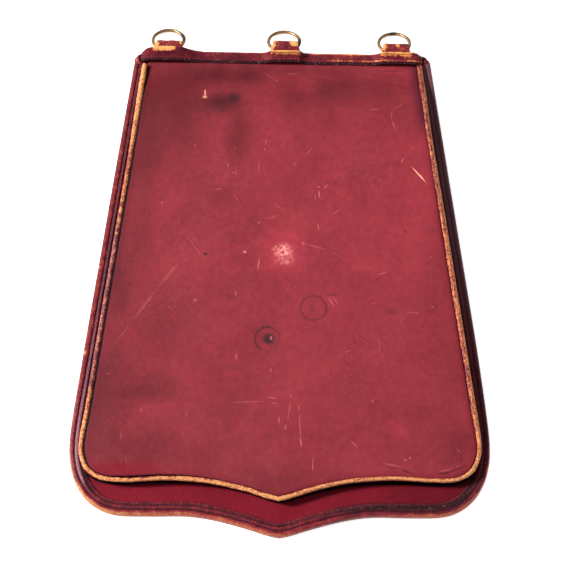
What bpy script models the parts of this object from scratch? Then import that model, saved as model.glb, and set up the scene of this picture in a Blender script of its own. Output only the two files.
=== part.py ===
"""Leather sabretache, lying face down with its three rings at the top.

Built in metres with +Z up, +Y toward the rings and X across. A stiff flap lies on the
ground, a flat pocket with its own bound edge lies on the flap, and a folded band holds
both along the top together with three loops that carry the rings.
"""

from collections import namedtuple
import math

import bmesh
import bpy
from mathutils import Matrix, Vector

MM = 0.001
GAP = 0.3

# Outline of the flap, right half, from the top down to the tip.
EdgePoint = namedtuple("EdgePoint", "half_width y")
FLAP_EDGE = (
    EdgePoint(110.5, 170.2),
    EdgePoint(119.9, 96.0),
    EdgePoint(129.3, 22.0),
    EdgePoint(138.4, -50.0),
    EdgePoint(143.9, -101.0),
    EdgePoint(145.1, -122.0),
    EdgePoint(143.9, -135.0),
    EdgePoint(139.6, -147.5),
    EdgePoint(132.0, -158.8),
    EdgePoint(121.5, -166.9),
    EdgePoint(108.5, -170.9),
    EdgePoint(88.0, -171.3),
    EdgePoint(64.0, -171.3),
    EdgePoint(45.0, -174.0),
    EdgePoint(24.0, -179.4),
    EdgePoint(8.0, -184.0),
    EdgePoint(0.0, -185.4),
)
# Outline of the pocket with its bound edge, right half, from the band down to the tip.
POCKET_EDGE = (
    EdgePoint(103.4, 170.2),
    EdgePoint(104.6, 158.0),
    EdgePoint(106.2, 142.0),
    EdgePoint(107.9, 125.0),
    EdgePoint(112.8, 82.0),
    EdgePoint(120.2, 22.0),
    EdgePoint(127.5, -36.0),
    EdgePoint(134.9, -94.0),
    EdgePoint(138.4, -119.0),
    EdgePoint(138.0, -131.5),
    EdgePoint(132.6, -142.8),
    EdgePoint(121.5, -149.2),
    EdgePoint(106.0, -150.3),
    EdgePoint(78.0, -149.0),
    EdgePoint(51.0, -150.7),
    EdgePoint(27.0, -155.5),
    EdgePoint(8.0, -161.4),
    EdgePoint(0.0, -163.3),
)
EDGE_STEPS = 2

# Levels above the ground.
WRAP = 1.2
FLAP_LOW = WRAP + GAP
FLAP_THICK = 3.0
FLAP_HIGH = FLAP_LOW + FLAP_THICK
FRONT_LOW = FLAP_HIGH + GAP
FRONT_THICK = 1.5
GUSSET_LOW = FRONT_LOW + FRONT_THICK + GAP
GUSSET_THICK = 1.5
GUSSET_BULGE = 0.5
GUSSET_EASE = 0.3
BACK_LOW_AT_BAND = FLAP_HIGH + GAP
BACK_LOW = 12.3
BACK_THICK = 1.8
BACK_CROWN = 1.5
CROWN_FULLNESS = 0.6
CROWN_FOOT = 0.25
BACK_PARALLEL_STEP = 0.6
SLOPE_TOP = 171.0
SLOPE_FOOT = 132.0
CORNER_TURN = -140.0

# Edges along Y at the top.
SIDE_END = 170.2
FLAP_TOP = 182.2
BACK_TOP = 179.2
MOUTH = 148.0
GUSSET_END = 160.0
TOP_SLANT = 0.011

# Strips that run round the edges.
FLAP_INSET = 1.8
ROLL_WIDE = 3.3
ROLL_HALF = 2.2
BACK_INSET = ROLL_WIDE + GAP
FRONT_INSET = BACK_INSET - 0.2
GUSSET_INSET = BACK_INSET + GUSSET_THICK / 2.0
ROLL_AT_BAND = 8.2
ROLL_LEVEL = 12.4
ROLL_SMALL = 0.75

# The top band, its loops and its rings.
BAND_HALF = 101.5
BAND_COLUMNS = 48
BAND_RISE_RUN = 7.5
BAND_END_RISE = 0.8
BAND_END_RUN = (10.0, 17.0)
LOOP_LEATHER = 1.2
LOOP_ROOT = 173.8
LOOP_ROOT_LOW = 7.1
LOOP_NECK = 177.4
NECK_TURN = 60.0
UNDER_TURN = 55.0
UNDER_STEP = 0.6
TURN_STEPS = 4
EYE_Y = 185.1
EYE_Z = 9.1
EYE_HALF_HIGH = 3.2
EYE_HALF_LONG = 5.0
EYE_STEPS = 7
RING_HALF = 11.45
RING_WIRE = 1.25
RING_STEPS = 28
WIRE_STEPS = 8
HINGE_Y = 184.6
HINGE_TO_FAR_END = 20.37
Loop = namedtuple("Loop", "name x width forward")
LOOPS = (
    Loop("left", -84.0, 18.6, 0.0),
    Loop("middle", 2.0, 18.6, 0.2),
    Loop("right", 84.0, 18.6, 0.2),
)

# Folded leather at the two top corners.
CAP_X = 105.7
CAP_TOP = 182.1
CAP_WIDE = 7.8
CAP_HIGH = 8.8
CAP_ROUND = 2.4

Finish = namedtuple("Finish", "colour roughness metallic")
FINISHES = {
    "crimson_leather": Finish((0.27, 0.035, 0.045), 0.5, 0.0),
    "maroon_leather": Finish((0.11, 0.018, 0.028), 0.45, 0.0),
    "tan_worn_leather": Finish((0.62, 0.33, 0.15), 0.7, 0.0),
    "aged_brass": Finish((0.46, 0.36, 0.19), 0.38, 1.0),
}


def clear_scene():
    for item in list(bpy.data.objects):
        bpy.data.objects.remove(item, do_unlink=True)


def new_collection(name):
    group = bpy.data.collections.new(name)
    bpy.context.scene.collection.children.link(group)
    return group


def material(name):
    found = bpy.data.materials.get(name)
    if found:
        return found
    made = bpy.data.materials.new(name)
    made.use_nodes = True
    shader = made.node_tree.nodes["Principled BSDF"]
    finish = FINISHES[name]
    shader.inputs["Base Color"].default_value = (*finish.colour, 1.0)
    shader.inputs["Roughness"].default_value = finish.roughness
    shader.inputs["Metallic"].default_value = finish.metallic
    return made


def add_object(name, data, finish, group):
    made = bpy.data.objects.new(name, data)
    group.objects.link(made)
    if finish:
        data.materials.append(material(finish))
    return made


def as_mesh(made, finish, group):
    """Turns a curve object into a mesh object with shared corners."""
    name = made.name
    bpy.context.view_layer.update()
    depsgraph = bpy.context.evaluated_depsgraph_get()
    data = bpy.data.meshes.new_from_object(made.evaluated_get(depsgraph))
    bpy.data.objects.remove(made, do_unlink=True)
    form = bmesh.new()
    form.from_mesh(data)
    bmesh.ops.remove_doubles(form, verts=form.verts, dist=0.00002)
    bmesh.ops.recalc_face_normals(form, faces=form.faces)
    form.to_mesh(data)
    form.free()
    data.materials.clear()
    return add_object(name, data, finish, group)


def step_between(value, low, high):
    """Eased 0 to 1 as value goes from low to high."""
    part = min(max((value - low) / (high - low), 0.0), 1.0)
    return part * part * (3.0 - 2.0 * part)


def smooth_line(points, steps):
    """Points on a curve that passes through every given (x, y)."""
    ends = [points[0]] + list(points) + [points[-1]]
    line = []
    for index in range(1, len(ends) - 2):
        before, start, end, after = (Vector(p) for p in ends[index - 1:index + 3])
        for step in range(steps):
            t = step / steps
            line.append(0.5 * (
                2.0 * start
                + (end - before) * t
                + (2.0 * before - 5.0 * start + 4.0 * end - after) * t * t
                + (3.0 * start - before - 3.0 * end + after) * t * t * t
            ))
    line.append(Vector(points[-1]))
    return line


def full_edge(table):
    """Whole open outline, from the left top round the tip to the right top."""
    right = smooth_line([(row.half_width, row.y) for row in table], EDGE_STEPS)
    left = [Vector((-p.x, p.y)) for p in right]
    return left + right[-2::-1]


def inset(line, distance):
    """Moves an open outline inward, toward the middle of the bag."""
    moved = []
    for index, point in enumerate(line):
        before = line[max(index - 1, 0)]
        after = line[min(index + 1, len(line) - 1)]
        along = (after - before).normalized()
        moved.append(point + Vector((-along.y, along.x)) * distance)
    return moved


def top_shift(x):
    """The top edge runs a little lower toward the right."""
    return -TOP_SLANT * x


def slope(y):
    """0 at the band, 1 where the pocket has its full depth."""
    return 1.0 - step_between(y, SLOPE_FOOT, SLOPE_TOP)


def back_low(y):
    return BACK_LOW_AT_BAND + (BACK_LOW - BACK_LOW_AT_BAND) * slope(y)


def flat_piece(name, outline, low, high, finish, group):
    """A flat piece with the given closed outline between two levels."""
    data = bpy.data.curves.new(name, "CURVE")
    data.dimensions = "2D"
    data.fill_mode = "BOTH"
    data.extrude = (high - low) * MM / 2.0
    spline = data.splines.new("POLY")
    spline.points.add(len(outline) - 1)
    for target, point in zip(spline.points, outline):
        target.co = (point[0] * MM, point[1] * MM, 0.0, 1.0)
    spline.use_cyclic_u = True
    made = add_object(name, data, None, group)
    made = as_mesh(made, finish, group)
    made.data.transform(Matrix.Translation((0.0, 0.0, (low + high) * MM / 2.0)))
    return made


def swept_piece(name, path, profile, finish, group):
    """A strip with the profile (inward, up) along a path of (x, y, z, size)."""
    section = bpy.data.curves.new(name + "_section", "CURVE")
    section.dimensions = "2D"
    outline = section.splines.new("POLY")
    outline.points.add(len(profile) - 1)
    for target, (inward, up) in zip(outline.points, profile):
        target.co = (-inward * MM, up * MM, 0.0, 1.0)
    outline.use_cyclic_u = True
    guide = bpy.data.objects.new(name + "_section", section)
    group.objects.link(guide)

    data = bpy.data.curves.new(name, "CURVE")
    data.dimensions = "3D"
    data.twist_mode = "Z_UP"
    data.bevel_mode = "OBJECT"
    data.bevel_object = guide
    data.use_fill_caps = True
    spline = data.splines.new("POLY")
    spline.points.add(len(path) - 1)
    for target, (x, y, z, size) in zip(spline.points, path):
        target.co = (x * MM, y * MM, z * MM, 1.0)
        target.radius = size
    made = add_object(name, data, None, group)
    made = as_mesh(made, finish, group)
    bpy.data.objects.remove(guide, do_unlink=True)
    return made


def sheet_piece(name, columns, rows, place, thick, finish, group):
    """A leather sheet whose middle surface is place(across, along), both 0 to 1."""
    form = bmesh.new()
    bmesh.ops.create_grid(form, x_segments=columns, y_segments=rows, size=0.5)
    for vert in form.verts:
        vert.co = Vector(place(vert.co.x + 0.5, vert.co.y + 0.5)) * MM
    data = bpy.data.meshes.new(name)
    form.to_mesh(data)
    form.free()
    made = add_object(name, data, finish, group)
    solid = made.modifiers.new("leather", "SOLIDIFY")
    solid.thickness = thick * MM
    solid.offset = 0.0
    solid.use_even_offset = True
    return made


def line_at(line, part):
    """Point at a share of a list of points, counted by index."""
    place = part * (len(line) - 1)
    index = min(int(place), len(line) - 2)
    return line[index].lerp(line[index + 1], place - index)


def build_flap(group):
    edge = full_edge(FLAP_EDGE)
    inner = inset(edge, FLAP_INSET)
    inner[0].y = inner[-1].y = SIDE_END
    shoulder = BAND_HALF
    outline = [(-shoulder, SIDE_END), *[tuple(p) for p in inner], (shoulder, SIDE_END)]
    for x in (shoulder, -shoulder):
        outline.append((x, FLAP_TOP + top_shift(x)))
    flat_piece("flap_panel", outline, FLAP_LOW, FLAP_HIGH, "crimson_leather", group)

    under = FLAP_HIGH + GAP
    profile = (
        (7.0, 0.0), (1.6, 0.0), (0.5, 0.5), (0.0, 1.8), (0.0, 4.2), (0.5, 5.6), (1.7, 6.2),
        (2.9, 5.8), (3.4, 5.4), (4.2, 6.0), (5.6, 6.2), (6.9, 5.8), (7.5, 5.4), (8.6, 5.5),
        (8.6, under), (1.9, under), (1.5, 4.4), (1.5, 1.6), (1.9, WRAP), (7.0, WRAP),
    )
    path = [(p.x, p.y, 0.0, 1.0) for p in edge]
    swept_piece("flap_binding", path, profile, "maroon_leather", group)


def build_pocket(group):
    edge = full_edge(POCKET_EDGE)

    front = [p for p in inset(edge, FRONT_INSET) if p.y < MOUTH]
    left, right = front[0], front[-1]
    outline = [(left.x, MOUTH), *[tuple(p) for p in front], (right.x, MOUTH)]
    front_high = FRONT_LOW + FRONT_THICK
    flat_piece("pocket_front", outline, FRONT_LOW, front_high, "crimson_leather", group)

    wall = [p for p in inset(edge, GUSSET_INSET) if p.y < GUSSET_END]

    def gusset_place(across, along):
        point = line_at(wall, across)
        over_mouth = step_between(point.y, MOUTH + 3.0, GUSSET_END - 2.0)
        foot = GUSSET_LOW - (GUSSET_LOW - FRONT_LOW) * over_mouth
        steep = 4.0 * slope(point.y) * (1.0 - slope(point.y))
        head = back_low(point.y) - GAP - GUSSET_EASE * steep
        out = point.normalized() * GUSSET_BULGE * math.sin(math.pi * along)
        return (point.x + out.x, point.y + out.y, foot + (head - foot) * along)

    sheet_piece("pocket_gusset", len(wall) - 1, 3, gusset_place, GUSSET_THICK, "maroon_leather", group)

    rim = inset(edge, BACK_INSET)
    turn = EDGE_STEPS * sum(row.y > CORNER_TURN for row in POCKET_EDGE)
    left_side = rim[:turn + 1]
    bottom = rim[turn:len(rim) - turn]
    right_side = rim[:len(rim) - turn - 2:-1]
    head_half = rim[-1].x - BACK_PARALLEL_STEP
    top_left = Vector((-head_half, BACK_TOP + top_shift(-head_half)))
    top_right = Vector((head_half, BACK_TOP + top_shift(head_half)))
    left_side = [top_left] + left_side
    right_side = [top_right] + right_side

    def back_place(across, along):
        side_left = line_at(left_side, along)
        side_right = line_at(right_side, along)
        head = top_left.lerp(top_right, across)
        foot = line_at(bottom, across)
        flat = (
            head * (1.0 - along) + foot * along
            + side_left * (1.0 - across) + side_right * across
            - top_left * (1.0 - across) * (1.0 - along) - top_right * across * (1.0 - along)
            - bottom[0] * (1.0 - across) * along - bottom[-1] * across * along
        )
        crown = BACK_CROWN * math.sin(math.pi * across) ** CROWN_FULLNESS * slope(flat.y)
        crown *= step_between(1.0 - along, 0.0, CROWN_FOOT)
        return (flat.x, flat.y, back_low(flat.y) + BACK_THICK / 2.0 + crown)

    rows = len(left_side) - 1
    columns = len(bottom) - 1
    sheet_piece("pocket_back", columns, rows, back_place, BACK_THICK, "crimson_leather", group)

    profile = (
        (0.0, -0.9), (0.0, 0.9), (0.5, 1.7), (1.3, ROLL_HALF), (2.2, ROLL_HALF), (2.9, 1.7),
        (ROLL_WIDE, 0.8), (ROLL_WIDE, -1.2), (2.7, -ROLL_HALF), (0.7, -ROLL_HALF),
    )
    path = []
    for point in edge:
        rise = slope(point.y)
        level = ROLL_AT_BAND + (ROLL_LEVEL - ROLL_AT_BAND) * rise
        path.append((point.x, point.y, level, ROLL_SMALL + (1.0 - ROLL_SMALL) * rise))
    swept_piece("pocket_binding", path, profile, "tan_worn_leather", group)


def band_rise(x):
    """0 between the loops, 1 over a loop, part way toward the two ends."""
    rise = 0.0
    for loop in LOOPS:
        away = abs(x - loop.x) - loop.width / 2.0 - 1.0
        rise = max(rise, 1.0 - step_between(away, 0.0, BAND_RISE_RUN))
    outer = abs(x) - abs(LOOPS[0].x)
    if outer > 0.0:
        rise = max(rise, 1.0 - (1.0 - BAND_END_RISE) * step_between(outer, *BAND_END_RUN))
    return rise


BandRow = namedtuple("BandRow", "low_y low_z high_y high_z")
BAND_ROWS = (
    BandRow(172.9, 0.6, 172.9, 0.6),
    BandRow(177.5, 0.6, 177.5, 0.6),
    BandRow(181.8, 0.6, 181.8, 0.6),
    BandRow(183.2, 1.3, 183.2, 1.3),
    BandRow(183.8, 2.6, 183.7, 3.2),
    BandRow(183.9, 4.0, 183.7, 6.5),
    BandRow(183.8, 5.2, 183.6, 9.5),
    BandRow(183.4, 6.4, 183.4, 12.6),
    BandRow(182.5, 7.2, 182.6, 14.3),
    BandRow(181.0, 7.5, 181.0, 14.3),
    BandRow(179.4, 7.5, 179.2, 13.0),
    BandRow(177.6, 7.5, 177.6, 11.3),
    BandRow(175.4, 7.5, 175.4, 10.6),
    BandRow(172.9, 7.5, 172.9, 10.5),
)


def loop_outline(loop, grow):
    """Side view (y, z) of a loop's outside, larger all round by grow."""
    outer = EYE_HALF_HIGH + LOOP_LEATHER + grow
    straight = EYE_HALF_LONG - EYE_HALF_HIGH
    root_high = LOOP_ROOT_LOW + 2.0 * LOOP_LEATHER
    near = EYE_Y + loop.forward - straight
    far = EYE_Y + loop.forward + straight
    outline = [(LOOP_ROOT - grow, LOOP_ROOT_LOW - grow)]
    outline += [(LOOP_ROOT - grow, root_high + grow), (LOOP_NECK, root_high + grow)]
    for step in range(TURN_STEPS + 1):
        angle = math.radians(90.0 + NECK_TURN * (1.0 - step / TURN_STEPS))
        outline.append((near + outer * math.cos(angle), EYE_Z + outer * math.sin(angle)))
    for step in range(2 * EYE_STEPS + 1):
        angle = math.radians(90.0 - 180.0 * step / (2 * EYE_STEPS))
        outline.append((far + outer * math.cos(angle), EYE_Z + outer * math.sin(angle)))
    for step in range(TURN_STEPS + 1):
        angle = math.radians(270.0 - UNDER_TURN * step / TURN_STEPS)
        outline.append((near + outer * math.cos(angle), EYE_Z + outer * math.sin(angle)))
    low = outline[-1]
    if low[1] < LOOP_ROOT_LOW - grow:
        outline.append((low[0] - UNDER_STEP, LOOP_ROOT_LOW - grow))
    return outline


def eye_outline(loop):
    straight = EYE_HALF_LONG - EYE_HALF_HIGH
    outline = []
    for centre, start in ((straight, 90.0), (-straight, -90.0)):
        for step in range(EYE_STEPS + 1):
            angle = math.radians(start - 180.0 * step / EYE_STEPS)
            y = EYE_Y + loop.forward + centre + EYE_HALF_HIGH * math.cos(angle)
            outline.append((y, EYE_Z + EYE_HALF_HIGH * math.sin(angle)))
    return outline


def side_extrusion(name, outlines, loop, width, finish, group):
    """Side view outlines (y, z) given a width across X; a second outline is a hole."""
    data = bpy.data.curves.new(name, "CURVE")
    data.dimensions = "2D"
    data.fill_mode = "BOTH"
    data.extrude = width * MM / 2.0
    for outline in outlines:
        spline = data.splines.new("POLY")
        spline.points.add(len(outline) - 1)
        for target, (y, z) in zip(spline.points, outline):
            target.co = (y * MM, z * MM, 0.0, 1.0)
        spline.use_cyclic_u = True
    made = add_object(name, data, None, group)
    made = as_mesh(made, finish, group)
    turn = Matrix(((0, 0, 1, 0), (1, 0, 0, 0), (0, 1, 0, 0), (0, 0, 0, 1)))
    shift = Matrix.Translation((loop.x * MM, top_shift(loop.x) * MM, 0.0))
    made.data.transform(shift @ turn)
    return made


def build_top(group, cutters):
    def band_place(across, along):
        x = BAND_HALF * (2.0 * across - 1.0)
        rise = band_rise(x)
        row = BAND_ROWS[round(along * (len(BAND_ROWS) - 1))]
        y = row.low_y + (row.high_y - row.low_y) * rise
        z = row.low_z + (row.high_z - row.low_z) * rise
        return (x, y + top_shift(x), z)

    band = sheet_piece(
        "top_band", BAND_COLUMNS, len(BAND_ROWS) - 1, band_place, WRAP, "maroon_leather", group
    )
    for loop in LOOPS:
        outlines = [loop_outline(loop, 0.0), eye_outline(loop)]
        side_extrusion("ring_loop_" + loop.name, outlines, loop, loop.width, "maroon_leather", group)
        outlines = [loop_outline(loop, GAP)]
        wide = loop.width + 2.0 * GAP
        room = side_extrusion("slot_" + loop.name, outlines, loop, wide, None, cutters)
        room.hide_render = True
        room.display_type = "WIRE"
        slot = band.modifiers.new("slot_" + loop.name, "BOOLEAN")
        slot.operation = "DIFFERENCE"
        slot.solver = "EXACT"
        slot.object = room
        build_ring(loop, group)
    for name, side in (("left", -1.0), ("right", 1.0)):
        build_cap("corner_cap_" + name, side, group)


def build_ring(loop, group):
    bpy.ops.mesh.primitive_torus_add(
        major_segments=RING_STEPS,
        minor_segments=WIRE_STEPS,
        major_radius=RING_HALF * MM,
        minor_radius=RING_WIRE * MM,
    )
    made = bpy.context.object
    made.name = "ring_" + loop.name
    made.data.name = made.name
    for holder in list(made.users_collection):
        holder.objects.unlink(made)
    group.objects.link(made)
    made.data.materials.append(material("aged_brass"))
    tilt = math.asin((EYE_Z - RING_WIRE) / HINGE_TO_FAR_END)
    reach = HINGE_TO_FAR_END - RING_HALF
    hinge = Vector((loop.x, HINGE_Y + loop.forward + top_shift(loop.x), EYE_Z))
    centre = hinge + Vector((0.0, math.cos(tilt), -math.sin(tilt))) * reach
    made.data.transform(Matrix.Translation(centre * MM) @ Matrix.Rotation(-tilt, 4, "X"))
    for face in made.data.polygons:
        face.use_smooth = True
    print(made.name, "hinge mm", [round(v, 3) for v in hinge], "tilt", round(math.degrees(tilt), 2))


def build_cap(name, side, group):
    x = side * CAP_X
    low = SIDE_END + GAP
    high = CAP_TOP + top_shift(x)
    form = bmesh.new()
    bmesh.ops.create_cube(form, size=1.0)
    bmesh.ops.scale(form, vec=(CAP_WIDE * MM, (high - low) * MM, CAP_HIGH * MM), verts=form.verts)
    move = Vector((x, (low + high) / 2.0, CAP_HIGH / 2.0)) * MM
    bmesh.ops.translate(form, vec=move, verts=form.verts)
    data = bpy.data.meshes.new(name)
    form.to_mesh(data)
    form.free()
    made = add_object(name, data, "maroon_leather", group)
    soft = made.modifiers.new("soft_edges", "BEVEL")
    soft.width = CAP_ROUND * MM
    soft.segments = 3


def shift_to_ground(group):
    """The move that puts the middle of the whole box's underside on the origin."""
    bpy.context.view_layer.update()
    depsgraph = bpy.context.evaluated_depsgraph_get()
    corners = []
    for made in group.objects:
        shape = made.evaluated_get(depsgraph)
        corners += [shape.matrix_world @ Vector(corner) for corner in shape.bound_box]
    low = [min(c[axis] for c in corners) for axis in range(3)]
    high = [max(c[axis] for c in corners) for axis in range(3)]
    return Vector((-(low[0] + high[0]) / 2.0, -(low[1] + high[1]) / 2.0, -low[2]))


def main():
    clear_scene()
    bag = new_collection("sabretache")
    cutters = new_collection("cutters")
    build_flap(bag)
    build_pocket(bag)
    build_top(bag, cutters)
    shift = shift_to_ground(bag)
    for made in list(bag.objects) + list(cutters.objects):
        made.data.transform(Matrix.Translation(shift))
    print("moved by mm", [round(v / MM, 4) for v in shift])


main()
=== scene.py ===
import math
import random

import bmesh
import bpy
from mathutils import Matrix, Vector, noise


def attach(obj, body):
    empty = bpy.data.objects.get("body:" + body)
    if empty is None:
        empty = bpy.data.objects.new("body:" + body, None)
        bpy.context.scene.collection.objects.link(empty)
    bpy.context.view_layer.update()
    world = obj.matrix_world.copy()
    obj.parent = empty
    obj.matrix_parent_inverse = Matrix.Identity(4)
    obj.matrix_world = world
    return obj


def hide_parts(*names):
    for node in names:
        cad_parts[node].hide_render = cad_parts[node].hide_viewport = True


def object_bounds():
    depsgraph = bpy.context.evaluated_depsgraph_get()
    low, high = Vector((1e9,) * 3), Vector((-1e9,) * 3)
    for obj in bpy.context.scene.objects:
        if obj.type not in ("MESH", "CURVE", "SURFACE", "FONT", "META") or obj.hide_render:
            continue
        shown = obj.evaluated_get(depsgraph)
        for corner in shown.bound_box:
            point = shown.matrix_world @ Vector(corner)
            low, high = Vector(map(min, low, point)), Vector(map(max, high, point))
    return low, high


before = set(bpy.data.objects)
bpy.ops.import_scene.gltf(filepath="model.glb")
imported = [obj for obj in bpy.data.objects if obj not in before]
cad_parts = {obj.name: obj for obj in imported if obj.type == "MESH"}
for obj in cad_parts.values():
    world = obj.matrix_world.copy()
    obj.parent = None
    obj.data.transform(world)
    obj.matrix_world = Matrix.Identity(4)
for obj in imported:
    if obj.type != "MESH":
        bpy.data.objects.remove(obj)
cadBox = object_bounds()
print("frame loaded:", len(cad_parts), "nodes")

# The bag is measured in millimetres from its own middle line; this puts it in the frame.
bagTip = -185.4
bagLift = 0.0002
bagShift = Vector((0.0, cadBox[0][1] * 1000.0 - bagTip, bagLift))
toFrame = Matrix.Scale(0.001, 4) @ Matrix.Translation(bagShift)

# Outlines, right half: half width and y, from the band down to the tip.
flapEdge = (
    (110.5, 170.2), (119.9, 96.0), (129.3, 22.0), (138.4, -50.0), (143.9, -101.0), (145.1, -122.0),
    (144.0, -135.0), (140.3, -147.5), (133.3, -158.8), (123.4, -166.9), (110.5, -171.1),
    (88.0, -171.7), (64.0, -171.5), (45.0, -174.1), (24.0, -179.6), (8.0, -184.7), (0.0, -186.4),
)
pocketEdge = (
    (103.4, 170.2), (104.6, 158.0), (106.2, 142.0), (107.9, 125.0), (112.8, 82.0), (120.2, 22.0),
    (127.5, -36.0), (134.9, -94.0), (138.4, -119.0), (138.0, -131.5), (132.6, -142.8),
    (121.5, -149.2), (106.0, -150.3), (78.0, -149.0), (51.0, -150.7), (27.0, -155.5),
    (8.0, -161.4), (0.0, -163.3),
)
flapLeftIn = (   # y, how much nearer the middle line the left side stands
    (-165.0, 0.0), (-135.0, 0.1), (-105.0, 0.25), (-67.0, 0.85), (-36.0, 0.75), (10.0, 0.55),
    (45.0, 0.3), (80.0, 0.1), (170.0, 0.0))
pocketLeftIn = (
    (-165.0, 0.0), (-145.0, 0.3), (-125.0, 1.0), (-105.0, 1.2), (-67.0, 0.75), (-36.0, 0.4),
    (10.0, 0.15), (60.0, 0.0))
bag = {
    "topSlant": 0.011,                      # how far the top falls for each mm to the right
    "flapTurn": -147.0, "pocketTurn": -140.0,   # y where the sides turn into the foot
    "slopeFoot": 132.0, "slopeTop": 171.0,  # y where the pocket starts and ends thinning to the band
}
edgeSteps = 6


# Shapes shared by the pieces

def easeBetween(value, low, high):
    part = min(max((value - low) / (high - low), 0.0), 1.0)
    return part * part * (3.0 - 2.0 * part)


def curveThrough(points, steps, closed=False):
    # a smooth curve through all the points
    points = [Vector(p) for p in points]
    ends = [points[-1]] + points + points[:2] if closed else [points[0]] + points + [points[-1]]
    line = []
    for index in range(1, len(ends) - 2):
        before, start, end, after = ends[index - 1:index + 3]
        for step in range(steps):
            t = step / steps
            line.append(0.5 * (2.0 * start + (end - before) * t
                               + (2.0 * before - 5.0 * start + 4.0 * end - after) * t * t
                               + (3.0 * start - before - 3.0 * end + after) * t ** 3))
    if not closed:
        line.append(points[-1].copy())
    return line


def topSlant(x):
    return -bag["topSlant"] * x


def pocketSlope(y):
    return 1.0 - easeBetween(y, bag["slopeFoot"], bag["slopeTop"])


def wholeEdge(rows, leftIn):
    # both halves of an outline, from the left end of the top round the foot to the right end
    right = curveThrough(rows, edgeSteps)
    left = [Vector((readTable(leftIn, p.y) - p.x, p.y)) for p in right[:-1]] + right[-1:]
    return left + right[-2::-1]


def runOn(line, top):
    # the same line with straight ends up to one more point on either side
    return [Vector((-top[0], top[1]))] + line + [Vector(top)]


def inwardNormals(line):
    # at each point, the direction square to an outline that leads into it
    normals = []
    for index in range(len(line)):
        along = (line[min(index + 1, len(line) - 1)] - line[max(index - 1, 0)]).normalized()
        normals.append(Vector((-along.y, along.x)))
    return normals


def movedIn(line, distance):
    return [point + normal * distance for point, normal in zip(line, inwardNormals(line))]


def evenly(line, spacing):
    # points at an even spacing, each with its distance from the start
    lengths = [0.0]
    for before, after in zip(line, line[1:]):
        lengths.append(lengths[-1] + (after - before).length)
    count = max(int(round(lengths[-1] / spacing)), 2)
    points, index = [], 0
    for step in range(count + 1):
        goal = lengths[-1] * step / count
        while index < len(line) - 2 and lengths[index + 1] < goal:
            index += 1
        share = (goal - lengths[index]) / max(lengths[index + 1] - lengths[index], 1e-9)
        points.append((line[index].lerp(line[index + 1], share), goal))
    return points


def lineAt(line, share):
    # the point at a share from 0 to 1 of a line's points
    place = min(max(share, 0.0), 1.0) * (len(line) - 1)
    index = min(int(place), len(line) - 2)
    return line[index].lerp(line[index + 1], place - index)


def readTable(rows, key):
    # value between the rows of a short (key, value) table
    if key <= rows[0][0]:
        return rows[0][1]
    for (low, before), (high, after) in zip(rows, rows[1:]):
        if key <= high:
            return before + (after - before) * (key - low) / (high - low)
    return rows[-1][1]


def wander(seed, x, y, size, amount=1.0):
    # a soft random drift with waves of about one size in mm
    return amount * noise.noise(Vector((x / size, y / size, seed * 7.31)))


# Making the pieces

def warpedSheet(columns, rows, place, facts=(), turned=False):
    # a grid whose points and facts come from place(across, along), both 0 to 1
    form = bmesh.new()
    bmesh.ops.create_grid(form, x_segments=columns, y_segments=rows, size=0.5)
    layers = [form.verts.layers.float.new(fact) for fact in facts]
    for vert in form.verts:
        point, values = place(vert.co.x + 0.5, vert.co.y + 0.5)
        vert.co = point
        for layer, value in zip(layers, values):
            vert[layer] = value
    if turned:
        bmesh.ops.reverse_faces(form, faces=form.faces)
    return form


def sweptStrip(path, section, place, facts):
    # a closed section carried along an open path, its seam merged and its two ends closed
    def placeAround(across, along):
        around = round(across * len(section)) % len(section)
        return place(round(along * (len(path) - 1)), around)

    form = warpedSheet(len(section), len(path) - 1, placeAround, facts)
    bmesh.ops.remove_doubles(form, verts=form.verts, dist=0.0001)
    openEdges = [edge for edge in form.edges if edge.is_boundary]
    bmesh.ops.holes_fill(form, edges=openEdges, sides=0)
    bmesh.ops.recalc_face_normals(form, faces=form.faces)
    return form


def addPiece(name, form, finish, replaced=(), body="sabretache", thick=None, rounded=None):
    # thick gives a sheet its wall, half to each side; rounded eases its cut edges
    bmesh.ops.transform(form, matrix=toFrame, verts=form.verts)
    mesh = bpy.data.meshes.new(name)
    for face in form.faces:
        face.smooth = True
    form.to_mesh(mesh)
    form.free()
    mesh.materials.append(finish)
    piece = bpy.data.objects.new(name, mesh)
    bpy.context.scene.collection.objects.link(piece)
    if thick:
        leather = piece.modifiers.new("leather", "SOLIDIFY")
        leather.thickness = thick * 0.001
        leather.offset = 0.0
    if rounded:
        edge = piece.modifiers.new("rounded", "BEVEL")
        edge.width = rounded * 0.001
        edge.segments = 2
        edge.limit_method = "ANGLE"
        edge.angle_limit = math.radians(50.0)
    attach(piece, body)
    if replaced:
        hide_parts(*replaced)
    print("made", name, len(mesh.polygons), "faces")
    return piece


# Finishes

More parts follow.
